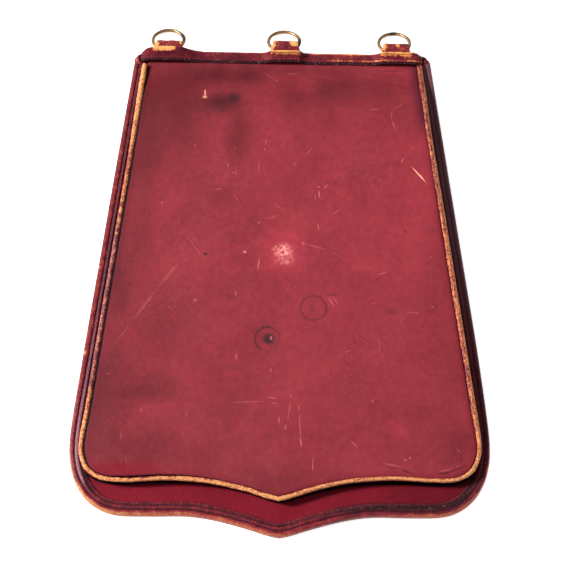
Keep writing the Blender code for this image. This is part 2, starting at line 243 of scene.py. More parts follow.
class Signal:
    # one output of a finish's nodes; sums and products of it add Math nodes
    def __init__(self, finish, socket):
        self.finish = finish
        self.socket = socket

    def maths(self, operation, *values):
        return self.finish.node("Math", {"operation": operation}, dict(enumerate(values)))

    def __add__(self, other):
        return self.maths("ADD", self, other)

    def __radd__(self, other):
        return self.maths("ADD", other, self)

    def __sub__(self, other):
        return self.maths("SUBTRACT", self, other)

    def __rsub__(self, other):
        return self.maths("SUBTRACT", other, self)

    def __mul__(self, other):
        return self.maths("MULTIPLY", self, other)

    def __rmul__(self, other):
        return self.maths("MULTIPLY", other, self)

    def __truediv__(self, other):
        return self.maths("DIVIDE", self, other)

    def __rtruediv__(self, other):
        return self.maths("DIVIDE", other, self)

    def __pow__(self, other):
        return self.maths("POWER", self, other)

    def most(self, other):
        return self.maths("MAXIMUM", self, other)

    def size(self):
        return self.maths("ABSOLUTE", self)

    def fade(self, low, high):
        # eased 0 to 1 between two values; with low above high it runs from 1 to 0
        turned = low > high
        limits = {"From Min": min(low, high), "From Max": max(low, high), "Value": self}
        made = self.finish.node("MapRange", {"interpolation_type": "SMOOTHSTEP"}, limits)
        return 1.0 - made if turned else made


class Finish:
    def __init__(self, name):
        self.material = bpy.data.materials.new(name)
        self.material.use_nodes = True
        self.tree = self.material.node_tree
        self.shader = self.tree.nodes["Principled BSDF"]

    def join(self, value, socket):
        if isinstance(value, Signal):
            self.tree.links.new(value.socket, socket)
        else:
            socket.default_value = value

    def node(self, kind, settings=None, values=None, output=0):
        made = self.tree.nodes.new("ShaderNode" + kind)
        for key, value in (settings or {}).items():
            if key == "stops":
                for place, colour in value[1:-1]:
                    made.color_ramp.elements.new(place)
                for element, (place, colour) in zip(made.color_ramp.elements, value):
                    element.position = place
                    element.color = (*colour, 1.0)
            else:
                setattr(made, key, value)
        for key, value in (values or {}).items():
            self.join(value, made.inputs[key])
        return Signal(self, made.outputs[output])

    def place(self):
        return self.node("TexCoord", output="Object")

    def along(self, where, axis):
        return self.node("SeparateXYZ", {}, {"Vector": where}, output=axis)

    def cells(self, where, scale):
        return self.node("TexVoronoi", {"feature": "DISTANCE_TO_EDGE"}, {"Vector": where, "Scale": scale})

    def joined(self, x, y, z=0.0):
        return self.node("CombineXYZ", {}, {"X": x, "Y": y, "Z": z})

    def fact(self, name):
        return self.node("Attribute", {"attribute_name": name}, output="Fac")

    def fitted(self, where, turn, half):
        # where turned along a grain line and measured in the size of its strokes (mm)
        return self.node("Mapping", {"vector_type": "TEXTURE"}, {
            "Vector": where, "Location": (bagShift.x * 0.001, bagShift.y * 0.001, 0.0),
            "Rotation": (0.0, 0.0, math.radians(turn)),
            "Scale": (half[0] * 0.001, half[1] * 0.001, 1.0)})

    def flatSpot(self, where):
        # x and y with 1 beside them, so that one dot product measures along any line
        return self.joined(self.along(where, "X"), self.along(where, "Y"), 1.0)

    def away(self, spot, centre, turn, half):
        # how far spot is from a mark's centre, 1 at its edge; a turned oval given in mm
        middle = (Vector(centre) + bagShift.to_2d()) * 0.001
        parts = []
        for line, size in zip(Matrix.Rotation(math.radians(-turn), 2), half):
            line = line / (size * 0.001)
            parts.append(self.node("VectorMath", {"operation": "DOT_PRODUCT"}, {
                0: spot, 1: (line.x, line.y, -line.dot(middle))}, output="Value"))
        return (parts[0] * parts[0] + parts[1] * parts[1]) ** 0.5

    def grainNoise(self, where, scale, detail=3.0, roughness=0.55):
        return self.node("TexNoise", {}, {
            "Vector": where, "Scale": scale, "Detail": detail, "Roughness": roughness})

    def mix(self, mask, under, over, blend="MIX"):
        under = (*under, 1.0) if isinstance(under, tuple) else under
        over = (*over, 1.0) if isinstance(over, tuple) else over
        return self.node("Mix", {"data_type": "RGBA", "blend_type": blend},
                         {"Factor": mask, 6: under, 7: over}, output=2)

    def bump(self, height, strength, distance):
        return self.node("Bump", {}, {"Height": height, "Strength": strength, "Distance": distance})

    def close(self, colour, roughness, normal, **fixed):
        self.join(colour, self.shader.inputs["Base Color"])
        self.join(roughness, self.shader.inputs["Roughness"])
        self.join(normal, self.shader.inputs["Normal"])
        for key, value in fixed.items():
            self.shader.inputs[key].default_value = value
        return self.material


# Camera, floor and light

def makeView():
    view = {"tilt": 22.0, "distance": 1.5, "lens": 132.9, "aimX": 0.0031, "aimY": -0.01004, "roll": 0.4}
    camera = bpy.data.cameras.new("view")
    camera.lens = view["lens"]
    camera.sensor_width = 36.0
    camera.clip_end = 30.0
    holder = bpy.data.objects.new("view", camera)
    bpy.context.scene.collection.objects.link(holder)
    tilt = math.radians(view["tilt"])
    holder.location = (view["aimX"], view["aimY"] - view["distance"] * math.sin(tilt),
                       view["distance"] * math.cos(tilt))
    turn = Matrix.Rotation(tilt, 4, "X") @ Matrix.Rotation(math.radians(view["roll"]), 4, "Z")
    holder.rotation_euler = turn.to_euler()
    bpy.context.scene.camera = holder


def makeStudio():
    studio = {"floorHalf": 4.0, "glow": 0.76, "sky": 0.34, "key": 315.0, "keySize": 0.8,
              "keyAt": (-3.15, 0.35, 2.84), "fill": 2.0, "fillSize": 1.2, "fillAt": (-0.6, 0.9, 2.0)}
    form = bmesh.new()
    bmesh.ops.create_grid(form, x_segments=1, y_segments=1, size=studio["floorHalf"])
    mesh = bpy.data.meshes.new("floor")
    form.to_mesh(mesh)
    form.free()
    floor = bpy.data.objects.new("floor", mesh)
    bpy.context.scene.collection.objects.link(floor)
    paper = Finish("pale_paper")
    fibre = paper.grainNoise(paper.place(), 900.0, 2.0)
    mesh.materials.append(paper.close(
        paper.mix(fibre, (0.93, 0.93, 0.93), (0.95, 0.95, 0.95)), 0.9,
        paper.bump(fibre, 0.05, 0.0002),
        **{"Emission Color": (1.0, 1.0, 1.0, 1.0), "Emission Strength": studio["glow"]}))

    world = bpy.data.worlds.new("studio")
    world.use_nodes = True
    sky = world.node_tree.nodes["Background"]
    sky.inputs["Color"].default_value = (1.0, 1.0, 1.0, 1.0)
    sky.inputs["Strength"].default_value = studio["sky"]
    bpy.context.scene.world = world
    for name in ("key", "fill"):
        lamp = bpy.data.lights.new(name, "AREA")
        lamp.energy = studio[name]
        lamp.shape = "DISK"
        lamp.size = studio[name + "Size"]
        holder = bpy.data.objects.new(name, lamp)
        bpy.context.scene.collection.objects.link(holder)
        holder.location = studio[name + "At"]
        holder.rotation_euler = (-Vector(studio[name + "At"])).to_track_quat("-Z", "Y").to_euler()
    bpy.context.scene.view_settings.view_transform = "Standard"
    print("camera, floor and light set")


# Leathers

edgeFacts = ("wear", "wax", "bloom", "run", "girth")


def boundEdge(name, settings):
    # facts, in order: wear 0 to 1 from dye to bare leather; the black waxed seams together with painted
    # shade; a painted lilac sheen on sides facing the key light;
    # the mm along the strip and round it
    leather = Finish(name)
    where = leather.place()
    wear, wax, bloom, run, girth = (leather.fact(fact) for fact in edgeFacts)
    coarse = leather.grainNoise(where, settings["coarse"], 3.0)
    fine = leather.grainNoise(where, settings["fine"], 3.0, 0.65)
    hair = leather.grainNoise(where, 2600.0, 2.0)
    right = leather.along(where, "X").fade(-0.03, 0.03)
    lines = leather.grainNoise(leather.joined(run * 0.17, girth * 2.1, run * 0.02), 1.0, 3.0, 0.6)
    blots = leather.grainNoise(leather.joined(run * 0.45, girth * 0.55, 3.0), 1.0, 4.0, 0.65)
    wornness = wear + (coarse - 0.5) * settings["patchy"] + (fine - 0.5) * settings["speckle"]
    wornness = wornness + (lines - 0.5) * right * settings["lined"]
    wornness = wornness + (blots - 0.5) * (1.0 - right) * settings["blotted"]
    colour = leather.node("ValToRGB", {"stops": settings["stops"]}, {"Fac": wornness})
    colour = leather.mix(hair * 0.35, colour, settings["shade"], "MULTIPLY")
    # painted fill light: a greyish lilac lift on the upper right of the border, which lies in the pocket's
    # shadow
    high = leather.along(where, "Y").fade(-0.09, 0.03)
    colour = leather.mix(right * high * settings["paintedFillRight"], colour, settings["paintedFillColour"])
    specks = leather.grainNoise(where, settings["speck"], 3.0, 0.7)
    specked = specks.fade(0.54, 0.62) * (coarse + 0.1).fade(0.38, 0.62)
    colour = leather.mix(specked * settings["specked"], colour, settings["dark"])
    # painted highlight: a lilac sheen mixed in where the sheen fact is high
    paintedSheenMask = (bloom * ((fine - 0.5) * 2.2 + 0.95)).fade(0.1, 1.1)
    colour = leather.mix(paintedSheenMask * 0.85, colour, settings["bloom"])
    waxAndShadeMask = (wax + (fine - 0.5) * 1.1).fade(0.32, 0.62)
    flecks = leather.grainNoise(where, 480.0, 3.0, 0.7).fade(0.57, 0.66)
    flecked = leather.mix(flecks * (coarse + 0.08).fade(0.4, 0.6) * 0.6, settings["wax"], settings["fleck"])
    colour = leather.mix(waxAndShadeMask * 0.95, colour, flecked)
    bare = wornness.fade(0.45, 0.75)
    roughness = settings["dull"] + bare * 0.3 + waxAndShadeMask * 0.35 + (fine - 0.5) * 0.3
    height = leather.cells(where, 700.0).fade(0.0, 0.12) * 0.5
    height = height + fine * 0.6 + hair * 0.3 + bare * 0.25 + blots * 0.4
    leather.join((1.0 - waxAndShadeMask) * settings["coat"], leather.shader.inputs["Coat Weight"])
    normal = leather.bump(height, settings["relief"], 0.0003)
    return leather.close(colour, roughness, normal, **{
        "Specular IOR Level": settings["gloss"], "Coat Roughness": 0.3})


scratches = (   # both ends (x, y), half width, strength, kind
    (93.5, 87.5, 104.7, 73.8, 0.55, 1.0, "bare"), (98.8, 81.5, 102.6, 76.4, 0.7, 1.0, "bare"),
    (25.3, 69.7, 28.0, 70.2, 0.5, 0.8, "rubAndHighlight"), (30.7, 69.3, 33.4, 72.0, 0.5, 0.9, "rubAndHighlight"),
    (26.9, 68.0, 27.4, 61.0, 0.5, 0.95, "rubAndHighlight"), (24.2, 65.1, 24.6, 58.1, 0.4, 0.5, "rubAndHighlight"),
    (80.9, 132.6, 91.6, 140.0, 0.35, 0.4, "rubAndHighlight"), (80.2, 132.9, 80.0, 124.7, 0.5, 0.5, "rubAndHighlight"),
    (80.0, 124.7, 82.7, 116.3, 0.45, 0.6, "rubAndHighlight"), (63.6, 132.5, 71.6, 132.6, 0.4, 0.55, "rubAndHighlight"),
    (85.9, 89.0, 88.5, 94.2, 0.45, 0.6, "rubAndHighlight"), (18.0, 95.7, 22.0, 100.9, 0.6, 0.45, "rubAndHighlight"),
    (8.7, 86.4, 10.8, 90.0, 0.5, 0.45, "rubAndHighlight"), (35.6, 48.0, 43.5, 52.9, 0.35, 0.45, "rubAndHighlight"),
    (26.1, 41.7, 26.8, 35.8, 0.5, 0.6, "rubAndHighlight"), (15.7, 26.1, 33.1, 20.8, 0.6, 0.3, "rubAndHighlight"),
    (31.3, 21.6, 50.8, 11.3, 0.5, 0.2, "rubAndHighlight"), (67.3, 1.9, 76.4, 4.8, 0.4, 0.7, "rubAndHighlight"),
    (78.9, -0.9, 89.5, 0.1, 0.35, 0.3, "rubAndHighlight"), (62.9, -20.0, 67.1, -19.4, 0.4, 0.45, "rubAndHighlight"),
    (87.3, -26.4, 96.5, -26.3, 0.35, 0.45, "rubAndHighlight"), (69.2, -45.2, 69.0, -59.0, 0.4, 0.3, "rubAndHighlight"),
    (45.1, -56.2, 49.3, -54.7, 0.7, 0.4, "rubAndHighlight"), (-15.0, 14.7, -16.4, 4.7, 0.65, 0.6, "rubAndHighlight"),
    (-31.7, -10.7, -31.6, -15.6, 0.6, 0.6, "rubAndHighlight"), (-30.5, -57.9, -30.5, -62.3, 0.65, 0.65, "rubAndHighlight"),
    (-68.3, 32.5, -51.9, 10.5, 0.35, 0.45, "rubAndHighlight"), (-65.2, 34.0, -57.5, 23.2, 0.35, 0.35, "rubAndHighlight"),
    (-71.4, 11.5, -86.4, -8.4, 1.6, 0.22, "rubAndHighlight"), (-86.4, -8.4, -104.5, -35.3, 1.3, 0.24, "rubAndHighlight"),
    (-104.5, -35.3, -116.8, -53.0, 0.8, 0.18, "rubAndHighlight"), (-10.8, 44.5, -0.5, 48.1, 0.35, 0.5, "rubAndHighlight"),
    (-16.8, 40.9, -14.3, 42.5, 0.55, 0.7, "rubAndHighlight"), (-6.6, 58.2, 2.7, 50.8, 0.35, 0.35, "rubAndHighlight"),
    (-48.0, 67.7, -43.0, 67.9, 0.5, 0.5, "rubAndHighlight"), (-34.7, 65.5, -30.2, 56.9, 0.45, 0.35, "rubAndHighlight"),
    (-32.9, 83.3, -32.6, 78.9, 0.5, 0.6, "rubAndHighlight"), (-38.8, 88.4, -38.7, 85.9, 0.6, 0.8, "rubAndHighlight"),
    (-11.3, 106.7, -11.7, 103.8, 0.5, 0.4, "rubAndHighlight"), (-12.3, 101.0, -12.4, 98.2, 0.4, 0.4, "rubAndHighlight"),
    (-16.4, 90.2, -16.7, 79.1, 0.6, 0.3, "rubAndHighlight"), (-95.6, -97.6, -95.5, -101.2, 0.5, 0.6, "rubAndHighlight"),
    (-108.7, -115.0, -108.4, -121.8, 0.35, 0.8, "rubAndHighlight"), (-108.0, -135.0, -107.7, -140.0, 0.35, 0.6, "rubAndHighlight"),
    (-105.0, -133.6, -104.8, -137.5, 0.35, 0.45, "rubAndHighlight"),
    (-104.3, -137.9, -103.8, -146.4, 0.35, 0.75, "rubAndHighlight"),
    (-35.0, -93.9, -8.2, -92.7, 0.35, 0.5, "rubAndHighlight"), (-8.9, -89.5, -1.3, -90.9, 0.6, 0.5, "rubAndHighlight"),
    (-6.1, -94.0, -1.9, -94.1, 0.45, 0.5, "rubAndHighlight"), (-63.5, -101.3, -65.9, -105.0, 0.4, 0.4, "rubAndHighlight"),
    (7.7, -87.4, 7.7, -90.3, 0.5, 0.6, "rubAndHighlight"), (7.7, -90.9, 5.2, -109.0, 0.35, 0.5, "rubAndHighlight"),
    (4.1, -109.5, 4.1, -113.8, 0.55, 0.7, "rubAndHighlight"), (-0.4, -103.8, -0.1, -108.8, 0.6, 0.65, "rubAndHighlight"),
    (13.0, -95.7, 13.2, -99.3, 0.5, 0.6, "rubAndHighlight"), (13.4, -100.4, 14.7, -120.6, 0.36, 0.8, "rubAndHighlight"),
    (14.3, -118.4, 15.2, -125.2, 0.6, 1.0, "rubAndHighlight"), (23.2, -131.2, 22.6, -143.3, 0.38, 0.6, "rubAndHighlight"),
    (23.0, -136.9, 22.7, -141.6, 0.5, 0.8, "rubAndHighlight"), (48.9, -120.8, 53.7, -125.7, 0.45, 0.7, "rubAndHighlight"),
    (120.7, -124.8, 124.3, -129.1, 0.45, 0.6, "rubAndHighlight"), (63.6, -91.3, 64.6, -92.4, 0.7, 0.5, "rubAndHighlight"),
    (-120.6, -73.5, -117.4, -72.9, 0.45, 0.45, "rubAndHighlight"), (33.7, -15.5, 37.6, -21.9, 0.7, 0.45, "rubAndHighlight"),
    (36.9, -14.7, 40.4, -20.3, 0.6, 0.4, "rubAndHighlight"),
    # Next lines: the dark marks in the lower right creases and in the creases below the band on the upper
    # right are painted shade, and the light marks just above the lower right ones are painted highlights
    (72.0, -138.2, 82.2, -140.9, 0.75, 0.55, "stainAndCreaseShade"), (82.2, -140.9, 93.0, -144.2, 0.85, 0.7, "stainAndCreaseShade"),
    (70.0, -136.4, 84.0, -139.2, 0.8, 0.3, "rubAndHighlight"), (106.6, -144.3, 117.5, -142.4, 0.9, 0.85, "stainAndCreaseShade"),
    (117.5, -142.4, 127.2, -137.7, 0.8, 0.8, "stainAndCreaseShade"), (108.0, -142.2, 118.0, -140.4, 0.8, 0.35, "rubAndHighlight"),
    (118.0, -140.4, 125.0, -136.6, 0.7, 0.3, "rubAndHighlight"), (69.4, 168.3, 93.1, 168.4, 0.5, 0.5, "stainAndCreaseShade"),
    (64.0, 164.2, 96.0, 164.4, 0.5, 0.45, "stainAndCreaseShade"), (2.1, 165.3, 13.2, 165.4, 0.7, 0.35, "rubAndHighlight"),
    (-13.4, 167.0, -5.2, 159.6, 0.35, 0.5, "rubAndHighlight"),
)
spots = (   # x, y, turn, strength, half length, half width, kind
    (-56.6, 142.6, 0, 1.0, 1.8, 1.5, "bare"), (-56.5, 146.6, 4, 1.0, 0.7, 3.5, "bare"),
    (-25.6, 18.9, -10, 1.0, 1.4, 1.0, "rubAndHighlight"), (-62.7, 102.6, 0, 0.5, 0.8, 0.8, "rubAndHighlight"),
    (-33.7, 100.6, 0, 0.4, 0.9, 0.8, "rubAndHighlight"), (-35.0, 81.1, 0, 0.5, 0.6, 0.9, "rubAndHighlight"),
    (-85.4, 57.2, 0, 0.4, 0.9, 0.9, "rubAndHighlight"), (95.7, -26.3, 0, 0.6, 0.6, 0.6, "rubAndHighlight"),
    (106.7, -22.0, 0, 0.5, 0.7, 0.8, "rubAndHighlight"), (106.4, 16.0, 0, 0.5, 0.7, 0.6, "rubAndHighlight"),
    (86.1, -134.3, 0, 0.6, 1.0, 0.8, "rubAndHighlight"), (89.1, -132.5, 30, 0.45, 1.0, 0.9, "rubAndHighlight"),
    (15.7, 25.7, 0, 0.4, 1.1, 1.1, "rubAndHighlight"), (-60.1, -18.1, 0, 0.35, 1.4, 1.5, "rubAndHighlight"),
    (-6.3, -69.9, 0, 0.45, 0.6, 1.5, "rubAndHighlight"), (95.5, 101.6, 0, 0.35, 1.1, 0.6, "rubAndHighlight"),
    (4.9, -10.0, 0, 0.4, 0.7, 0.8, "rubAndHighlight"), (-3.9, 159.1, 0, 0.45, 0.9, 0.8, "rubAndHighlight"),
    (-35.6, 142.0, 0, 0.8, 6.2, 6.0, "stainAndCreaseShade"), (-44.4, 138.6, 20, 0.5, 8.4, 5.8, "stainAndCreaseShade"),
    (-49.3, 138.3, 20, 0.5, 4.4, 3.6, "stainAndCreaseShade"), (-43.1, 132.1, 0, 0.5, 2.4, 3.6, "stainAndCreaseShade"),
    (-44.0, 139.0, 8, 0.42, 14.0, 9.0, "stainAndCreaseShade"),
    (-43.6, 147.3, 0, 0.3, 2.1, 2.3, "stainAndCreaseShade"), (-62.9, 141.4, 0, 0.3, 2.4, 2.3, "stainAndCreaseShade"),
    (-56.2, 139.2, 0, 0.9, 2.1, 0.7, "stainAndCreaseShade"), (-53.4, 17.2, -15, 1.0, 1.9, 1.4, "stainAndCreaseShade"),
    (88.7, 35.7, 25, 0.85, 1.1, 0.9, "stainAndCreaseShade"), (83.6, 13.9, 0, 0.6, 0.9, 0.8, "stainAndCreaseShade"),
    (84.6, -92.5, 0, 0.7, 0.9, 0.8, "stainAndCreaseShade"), (-34.1, 27.6, 0, 0.35, 2.9, 2.1, "stainAndCreaseShade"),
    (-94.0, 47.4, -20, 0.5, 0.7, 3.5, "stainAndCreaseShade"), (-15.6, -69.1, 0, 0.35, 1.6, 1.2, "stainAndCreaseShade"),
    (78.2, -25.7, 0, 0.28, 4.3, 4.2, "stainAndCreaseShade"), (38.6, 73.1, 20, 0.22, 1.4, 4.6, "stainAndCreaseShade"),
    (58.8, 81.2, 0, 0.22, 2.6, 2.4, "stainAndCreaseShade"), (36.2, -13.4, -4, 0.45, 5.4, 1.1, "stainAndCreaseShade"),
    (21.7, -21.9, 0, 0.55, 1.1, 1.1, "stainAndCreaseShade"), (21.8, -24.7, 0, 0.3, 2.0, 1.8, "stainAndCreaseShade"),
    (124.4, -133.4, 0, 0.4, 1.3, 3.1, "stainAndCreaseShade"), (-8.6, -56.8, 0, 0.35, 1.6, 1.4, "stainAndCreaseShade"),
    # the light mark in the dark eye of the second imprint is a painted highlight
    (-8.0, -46.8, 0, 1.3, 4.9, 4.6, "stainAndCreaseShade"), (-6.3, -46.2, 10, 0.8, 0.8, 1.6, "rubAndHighlight"),
    (-56.3, -112.5, 0, 0.25, 2.6, 2.6, "stainAndCreaseShade"),
)
imprints = (   # x, y, turn of the darker side, how far round, radius, half width, strength
    (23.0, -23.5, 110.0, -1.4, 9.3, 0.10, 0.50), (-8.6, -46.8, 150.0, -0.25, 8.7, 0.12, 0.75),
    (-7.4, -46.0, 0.0, -0.1, 6.9, 0.10, 0.45),
)
clouds = (   # x, y, turn, half length, half width, how much lighter or darker
    (-88.0, 142.0, 0.0, 62.0, 58.0, -0.47), (-30.0, 107.0, 90.0, 42.0, 17.0, -0.34),
    (20.0, 148.0, 0.0, 46.0, 30.0, -0.32), (60.0, 152.0, 0.0, 50.0, 26.0, -0.32),
    (-4.8, 99.0, 90.0, 60.0, 22.0, 0.17), (-68.0, 38.0, 50.0, 44.0, 30.0, -0.04),
    (2.0, 18.0, 0.0, 30.0, 27.0, 0.54), (-122.0, 60.0, 81.0, 130.0, 34.0, -0.42),
    (-128.0, -92.0, 84.0, 62.0, 40.0, -0.40), (0.0, -110.0, 0.0, 105.0, 46.0, -0.02),
    (37.0, -18.0, -55.0, 10.0, 7.0, 0.14), (82.6, -112.9, 0.0, 12.0, 12.0, 0.20),
    (-44.0, 165.0, 0.0, 60.0, 22.0, -0.36), (92.0, 60.0, 80.0, 80.0, 40.0, 0.31),
    (-85.0, -30.0, 60.0, 60.0, 36.0, -0.06), (-44.0, 137.0, 5.0, 26.0, 16.0, -0.35),
    (0.0, -150.0, 0.0, 90.0, 16.0, -0.20), (118.0, -70.0, 80.0, 80.0, 26.0, -0.06),
    (-114.0, -6.0, 82.0, 52.0, 22.0, -0.30), (-98.0, -128.0, 0.0, 56.0, 26.0, -0.28),
    (-84.0, -82.0, 10.0, 30.0, 20.0, -0.25), (-95.0, 92.0, 80.0, 38.0, 20.0, -0.26),
    (16.0, 42.0, 0.0, 30.0, 20.0, 0.14), (-10.0, 22.0, 0.0, 56.0, 15.0, 0.08),
    (122.0, -126.0, 50.0, 26.0, 16.0, -0.30), (42.0, 60.0, 90.0, 40.0, 18.0, 0.17),
    (-118.0, -60.0, 84.0, 46.0, 14.0, -0.16), (86.0, 166.0, 0.0, 22.0, 9.0, 0.16),
    (-42.0, 62.0, 0.0, 16.0, 14.0, -0.16), (70.0, 70.0, 10.0, 26.0, 12.0, 0.06),
    (-72.0, 108.0, 88.0, 56.0, 24.0, -0.16), (6.0, 150.0, 90.0, 26.0, 18.0, -0.18),
    (22.0, 170.0, 0.0, 52.0, 9.0, -0.24), (-47.0, 166.0, 0.0, 14.0, 12.0, -0.14),
    (50.0, 35.0, 20.0, 44.0, 26.0, 0.15), (-46.0, 8.0, 0.0, 44.0, 30.0, 0.12),
    (-97.0, 42.0, 82.0, 52.0, 13.0, -0.20), (-92.0, -88.0, 0.0, 34.0, 9.0, -0.16),
    (37.0, 121.0, 0.0, 15.0, 12.0, -0.12), (-118.0, -90.0, 84.0, 34.0, 12.0, 0.1),
    (-112.0, -20.0, 80.0, 16.0, 8.0, -0.14), (62.0, 8.0, 0.0, 28.0, 13.0, 0.22),
    (14.0, 154.0, 0.0, 17.0, 15.0, 0.26), (-24.0, 164.0, 0.0, 20.0, 15.0, -0.26),
)
hairy = (   # x, y, turn, half length, half width of the finely scratched places
    (-66.0, 28.0, 50.0, 42.0, 28.0), (-80.0, -14.0, 60.0, 34.0, 26.0), (-38.0, 80.0, 90.0, 40.0, 24.0),
    (60.0, -60.0, 60.0, 60.0, 34.0), (60.0, 84.0, 70.0, 44.0, 40.0),
)


def panelLeather(name, marked):
    dyeAndShade = {
        "deep": (0.126, 0.0135, 0.020), "crimson": (0.257, 0.0235, 0.035), "bright": (0.333, 0.034, 0.047),
        "rim": (0.080, 0.010, 0.022), "paintedSeamShade": (0.010, 0.002, 0.004), "foot": (0.21, 0.006, 0.015),
        "bare": (0.90, 0.36, 0.22), "rubAndHighlight": (0.62, 0.15, 0.15), "stainAndCreaseShade": (0.052, 0.014, 0.018),
        "patch": (0.78, 0.29, 0.26), "grainTurn": -52.0, "hairTurn": -56.0, "flapLevel": 0.78,
        "underside": (0.0028, 0.0036),
    }
    if not marked:
        dyeAndShade.update(deep=(0.12, 0.005, 0.012), crimson=(0.25, 0.009, 0.023), bright=(0.30, 0.011, 0.028))
    leather = Finish(name)
    where = leather.place()
    broad = leather.grainNoise(where, 9.0, 3.0)
    cloud = leather.grainNoise(where, 34.0, 4.0, 0.6)
    fine = leather.grainNoise(where, 1500.0, 3.0, 0.6)
    drift = leather.grainNoise(where, 28.0, 2.0)
    bent = leather.node("VectorMath", {"operation": "ADD"}, {
        0: where, 1: leather.joined((drift - 0.5) * 0.006, (cloud - 0.5) * 0.005)})
    strokes = leather.grainNoise(leather.fitted(bent, dyeAndShade["grainTurn"], (2.8, 0.62)), 0.62, 3.0, 0.6)
    pebbles = leather.cells(leather.fitted(bent, dyeAndShade["grainTurn"], (1.6, 0.75)), 0.75)
    ridges = strokes.fade(0.36, 0.64) * 0.75 + pebbles.fade(0.02, 0.22) * 0.25

    mottle = leather.grainNoise(where, 210.0, 3.0, 0.6)
    tone = ((broad - 0.5) * 0.3 + (cloud - 0.5) * 0.6 + (mottle - 0.5) * 0.5 + 0.55).fade(-0.35, 1.15)
    colour = leather.mix(tone, dyeAndShade["deep"], dyeAndShade["crimson"])
    colour = leather.mix((tone - 0.45).fade(0.0, 0.6) * 0.6, colour, dyeAndShade["bright"])
    colour = leather.mix((1.0 - ridges) * 0.12, colour, dyeAndShade["deep"])
    flecks = leather.grainNoise(where, 620.0, 2.0).fade(0.69, 0.78) * cloud.fade(0.45, 0.7)
    colour = leather.mix(flecks * 0.35, colour, dyeAndShade["rubAndHighlight"])
    rim = leather.fact("rim")
    height = ridges * 0.7 + fine * 0.3
    level = dyeAndShade["flapLevel"] - leather.along(where, "X").fade(0.03, 0.12) * 0.3
    if marked:
        level = 1.0
        softly, spot = leather.flatSpot(bent), leather.flatSpot(where)
        for x, y, turn, long, wide, amount in clouds:
            away = leather.away(softly, (x, y), turn, (long, wide))
            level = away.fade(1.0, 0.0) * amount + level
        hairs = leather.grainNoise(leather.fitted(bent, dyeAndShade["hairTurn"], (5.0, 0.32)), 1.0, 2.0)
        places = 0.12
        for x, y, turn, long, wide in hairy:
            away = leather.away(spot, (x, y), turn, (long, wide))
            places = away.fade(1.0, 0.2).most(places)
        hairs = hairs.fade(0.58, 0.70) * places
        colour = leather.mix(hairs * 0.30, colour, dyeAndShade["rubAndHighlight"])

        ragged = (leather.grainNoise(where, 900.0, 3.0, 0.7) - 0.5) * 1.3
        masks = {"stainAndCreaseShade": 0.0, "rubAndHighlight": 0.0, "bare": 0.0}
        torn = {"stainAndCreaseShade": ragged * 0.3, "rubAndHighlight": ragged, "bare": ragged * 0.6}

        def addMark(kind, centre, turn, half, strength, soft):
            away = leather.away(spot, centre, turn, half) + torn[kind]
            one = leather.node("MapRange", {"interpolation_type": "SMOOTHSTEP"}, {
                "Value": away, "From Min": soft, "From Max": 1.1, "To Min": strength, "To Max": 0.0})
            masks[kind] = one.most(masks[kind])

        for x0, y0, x1, y1, wide, strength, kind in scratches:
            run = Vector((x1 - x0, y1 - y0))
            addMark(kind, ((x0 + x1) / 2.0, (y0 + y1) / 2.0), math.degrees(math.atan2(run.y, run.x)),
                    (run.length / 2.0 + 0.4, wide), strength, 0.3)
        for x, y, turn, strength, long, wide, kind in spots:
            soft = 0.25 if kind == "stainAndCreaseShade" else 0.4
            addMark(kind, (x, y), turn, (long * 1.15, wide * 1.15), strength, soft)
        for x, y, turn, reach, radius, wide, strength in imprints:
            ring = leather.away(spot, (x, y), turn, (radius, radius)) - 1.0 + (cloud - 0.5) * 0.2
            ring = (ring + (mottle - 0.5) * 0.42 + (fine - 0.5) * 0.06).size().fade(wide * 1.25, wide * 0.3)
            side = Vector((math.cos(math.radians(turn)), math.sin(math.radians(turn)))) * radius * 2.0
            side = leather.away(spot, Vector((x, y)) + side, 0.0, (radius, radius))
            side = side.fade(2.2 - reach, 1.8 - reach)
            broken = (ragged + 0.5).fade(-0.4, 0.4)
            masks["stainAndCreaseShade"] = (ring * side * broken * strength).most(masks["stainAndCreaseShade"])
        for kind, soft in (("stainAndCreaseShade", 1.0), ("rubAndHighlight", 0.75), ("bare", 1.0)):
            colour = leather.mix(masks[kind] * soft, colour, dyeAndShade[kind])
        net = leather.grainNoise(where, 560.0, 4.0, 0.8).fade(0.40, 0.62)
        uneven = (mottle - 0.5) * 0.9
        patch = (leather.away(softly, (1.6, 20.2), 8.0, (8.2, 7.0)) + uneven).fade(1.1, 0.25) * net
        trail = (leather.away(softly, (2.4, 13.6), 0.0, (8.4, 6.0)) + uneven).fade(1.2, 0.2) * net * 0.45
        colour = leather.mix(patch.most(trail) * 0.7, colour, dyeAndShade["patch"])
        height = height - masks["bare"] * 0.3
        dark = leather.away(spot, (103.0, 152.0), 81.0, (50.0, 19.0)).fade(1.0, 0.4)
        deepRed = leather.away(spot, (-112.0, -144.0), 6.0, (44.0, 11.0)).fade(1.0, 0.3)
        colour = leather.mix(deepRed * 0.85, colour, dyeAndShade["foot"])
        colour = leather.mix(rim.fade(8.5, 1.0) * 0.25, colour, dyeAndShade["foot"])
        # painted shade: the panel's edge darkens where it turns down to the piping, much more on the upper
        # right inside the dark oval
        paintedRimShade = rim.fade(5.2, 1.6) * 0.22 + rim.fade(11.0, 3.2) * dark * 0.74
        colour = leather.mix(paintedRimShade, colour, dyeAndShade["rim"])
    colour = leather.node("VectorMath", {"operation": "SCALE"}, {0: colour, "Scale": level})
    # painted shade: a near-black line along the panel's edge beside the piping, and on the flap a painted
    # shadow just below the pocket's foot
    paintedSeamShade = (rim + (fine - 0.5) * 0.9).fade(2.1, 1.3)
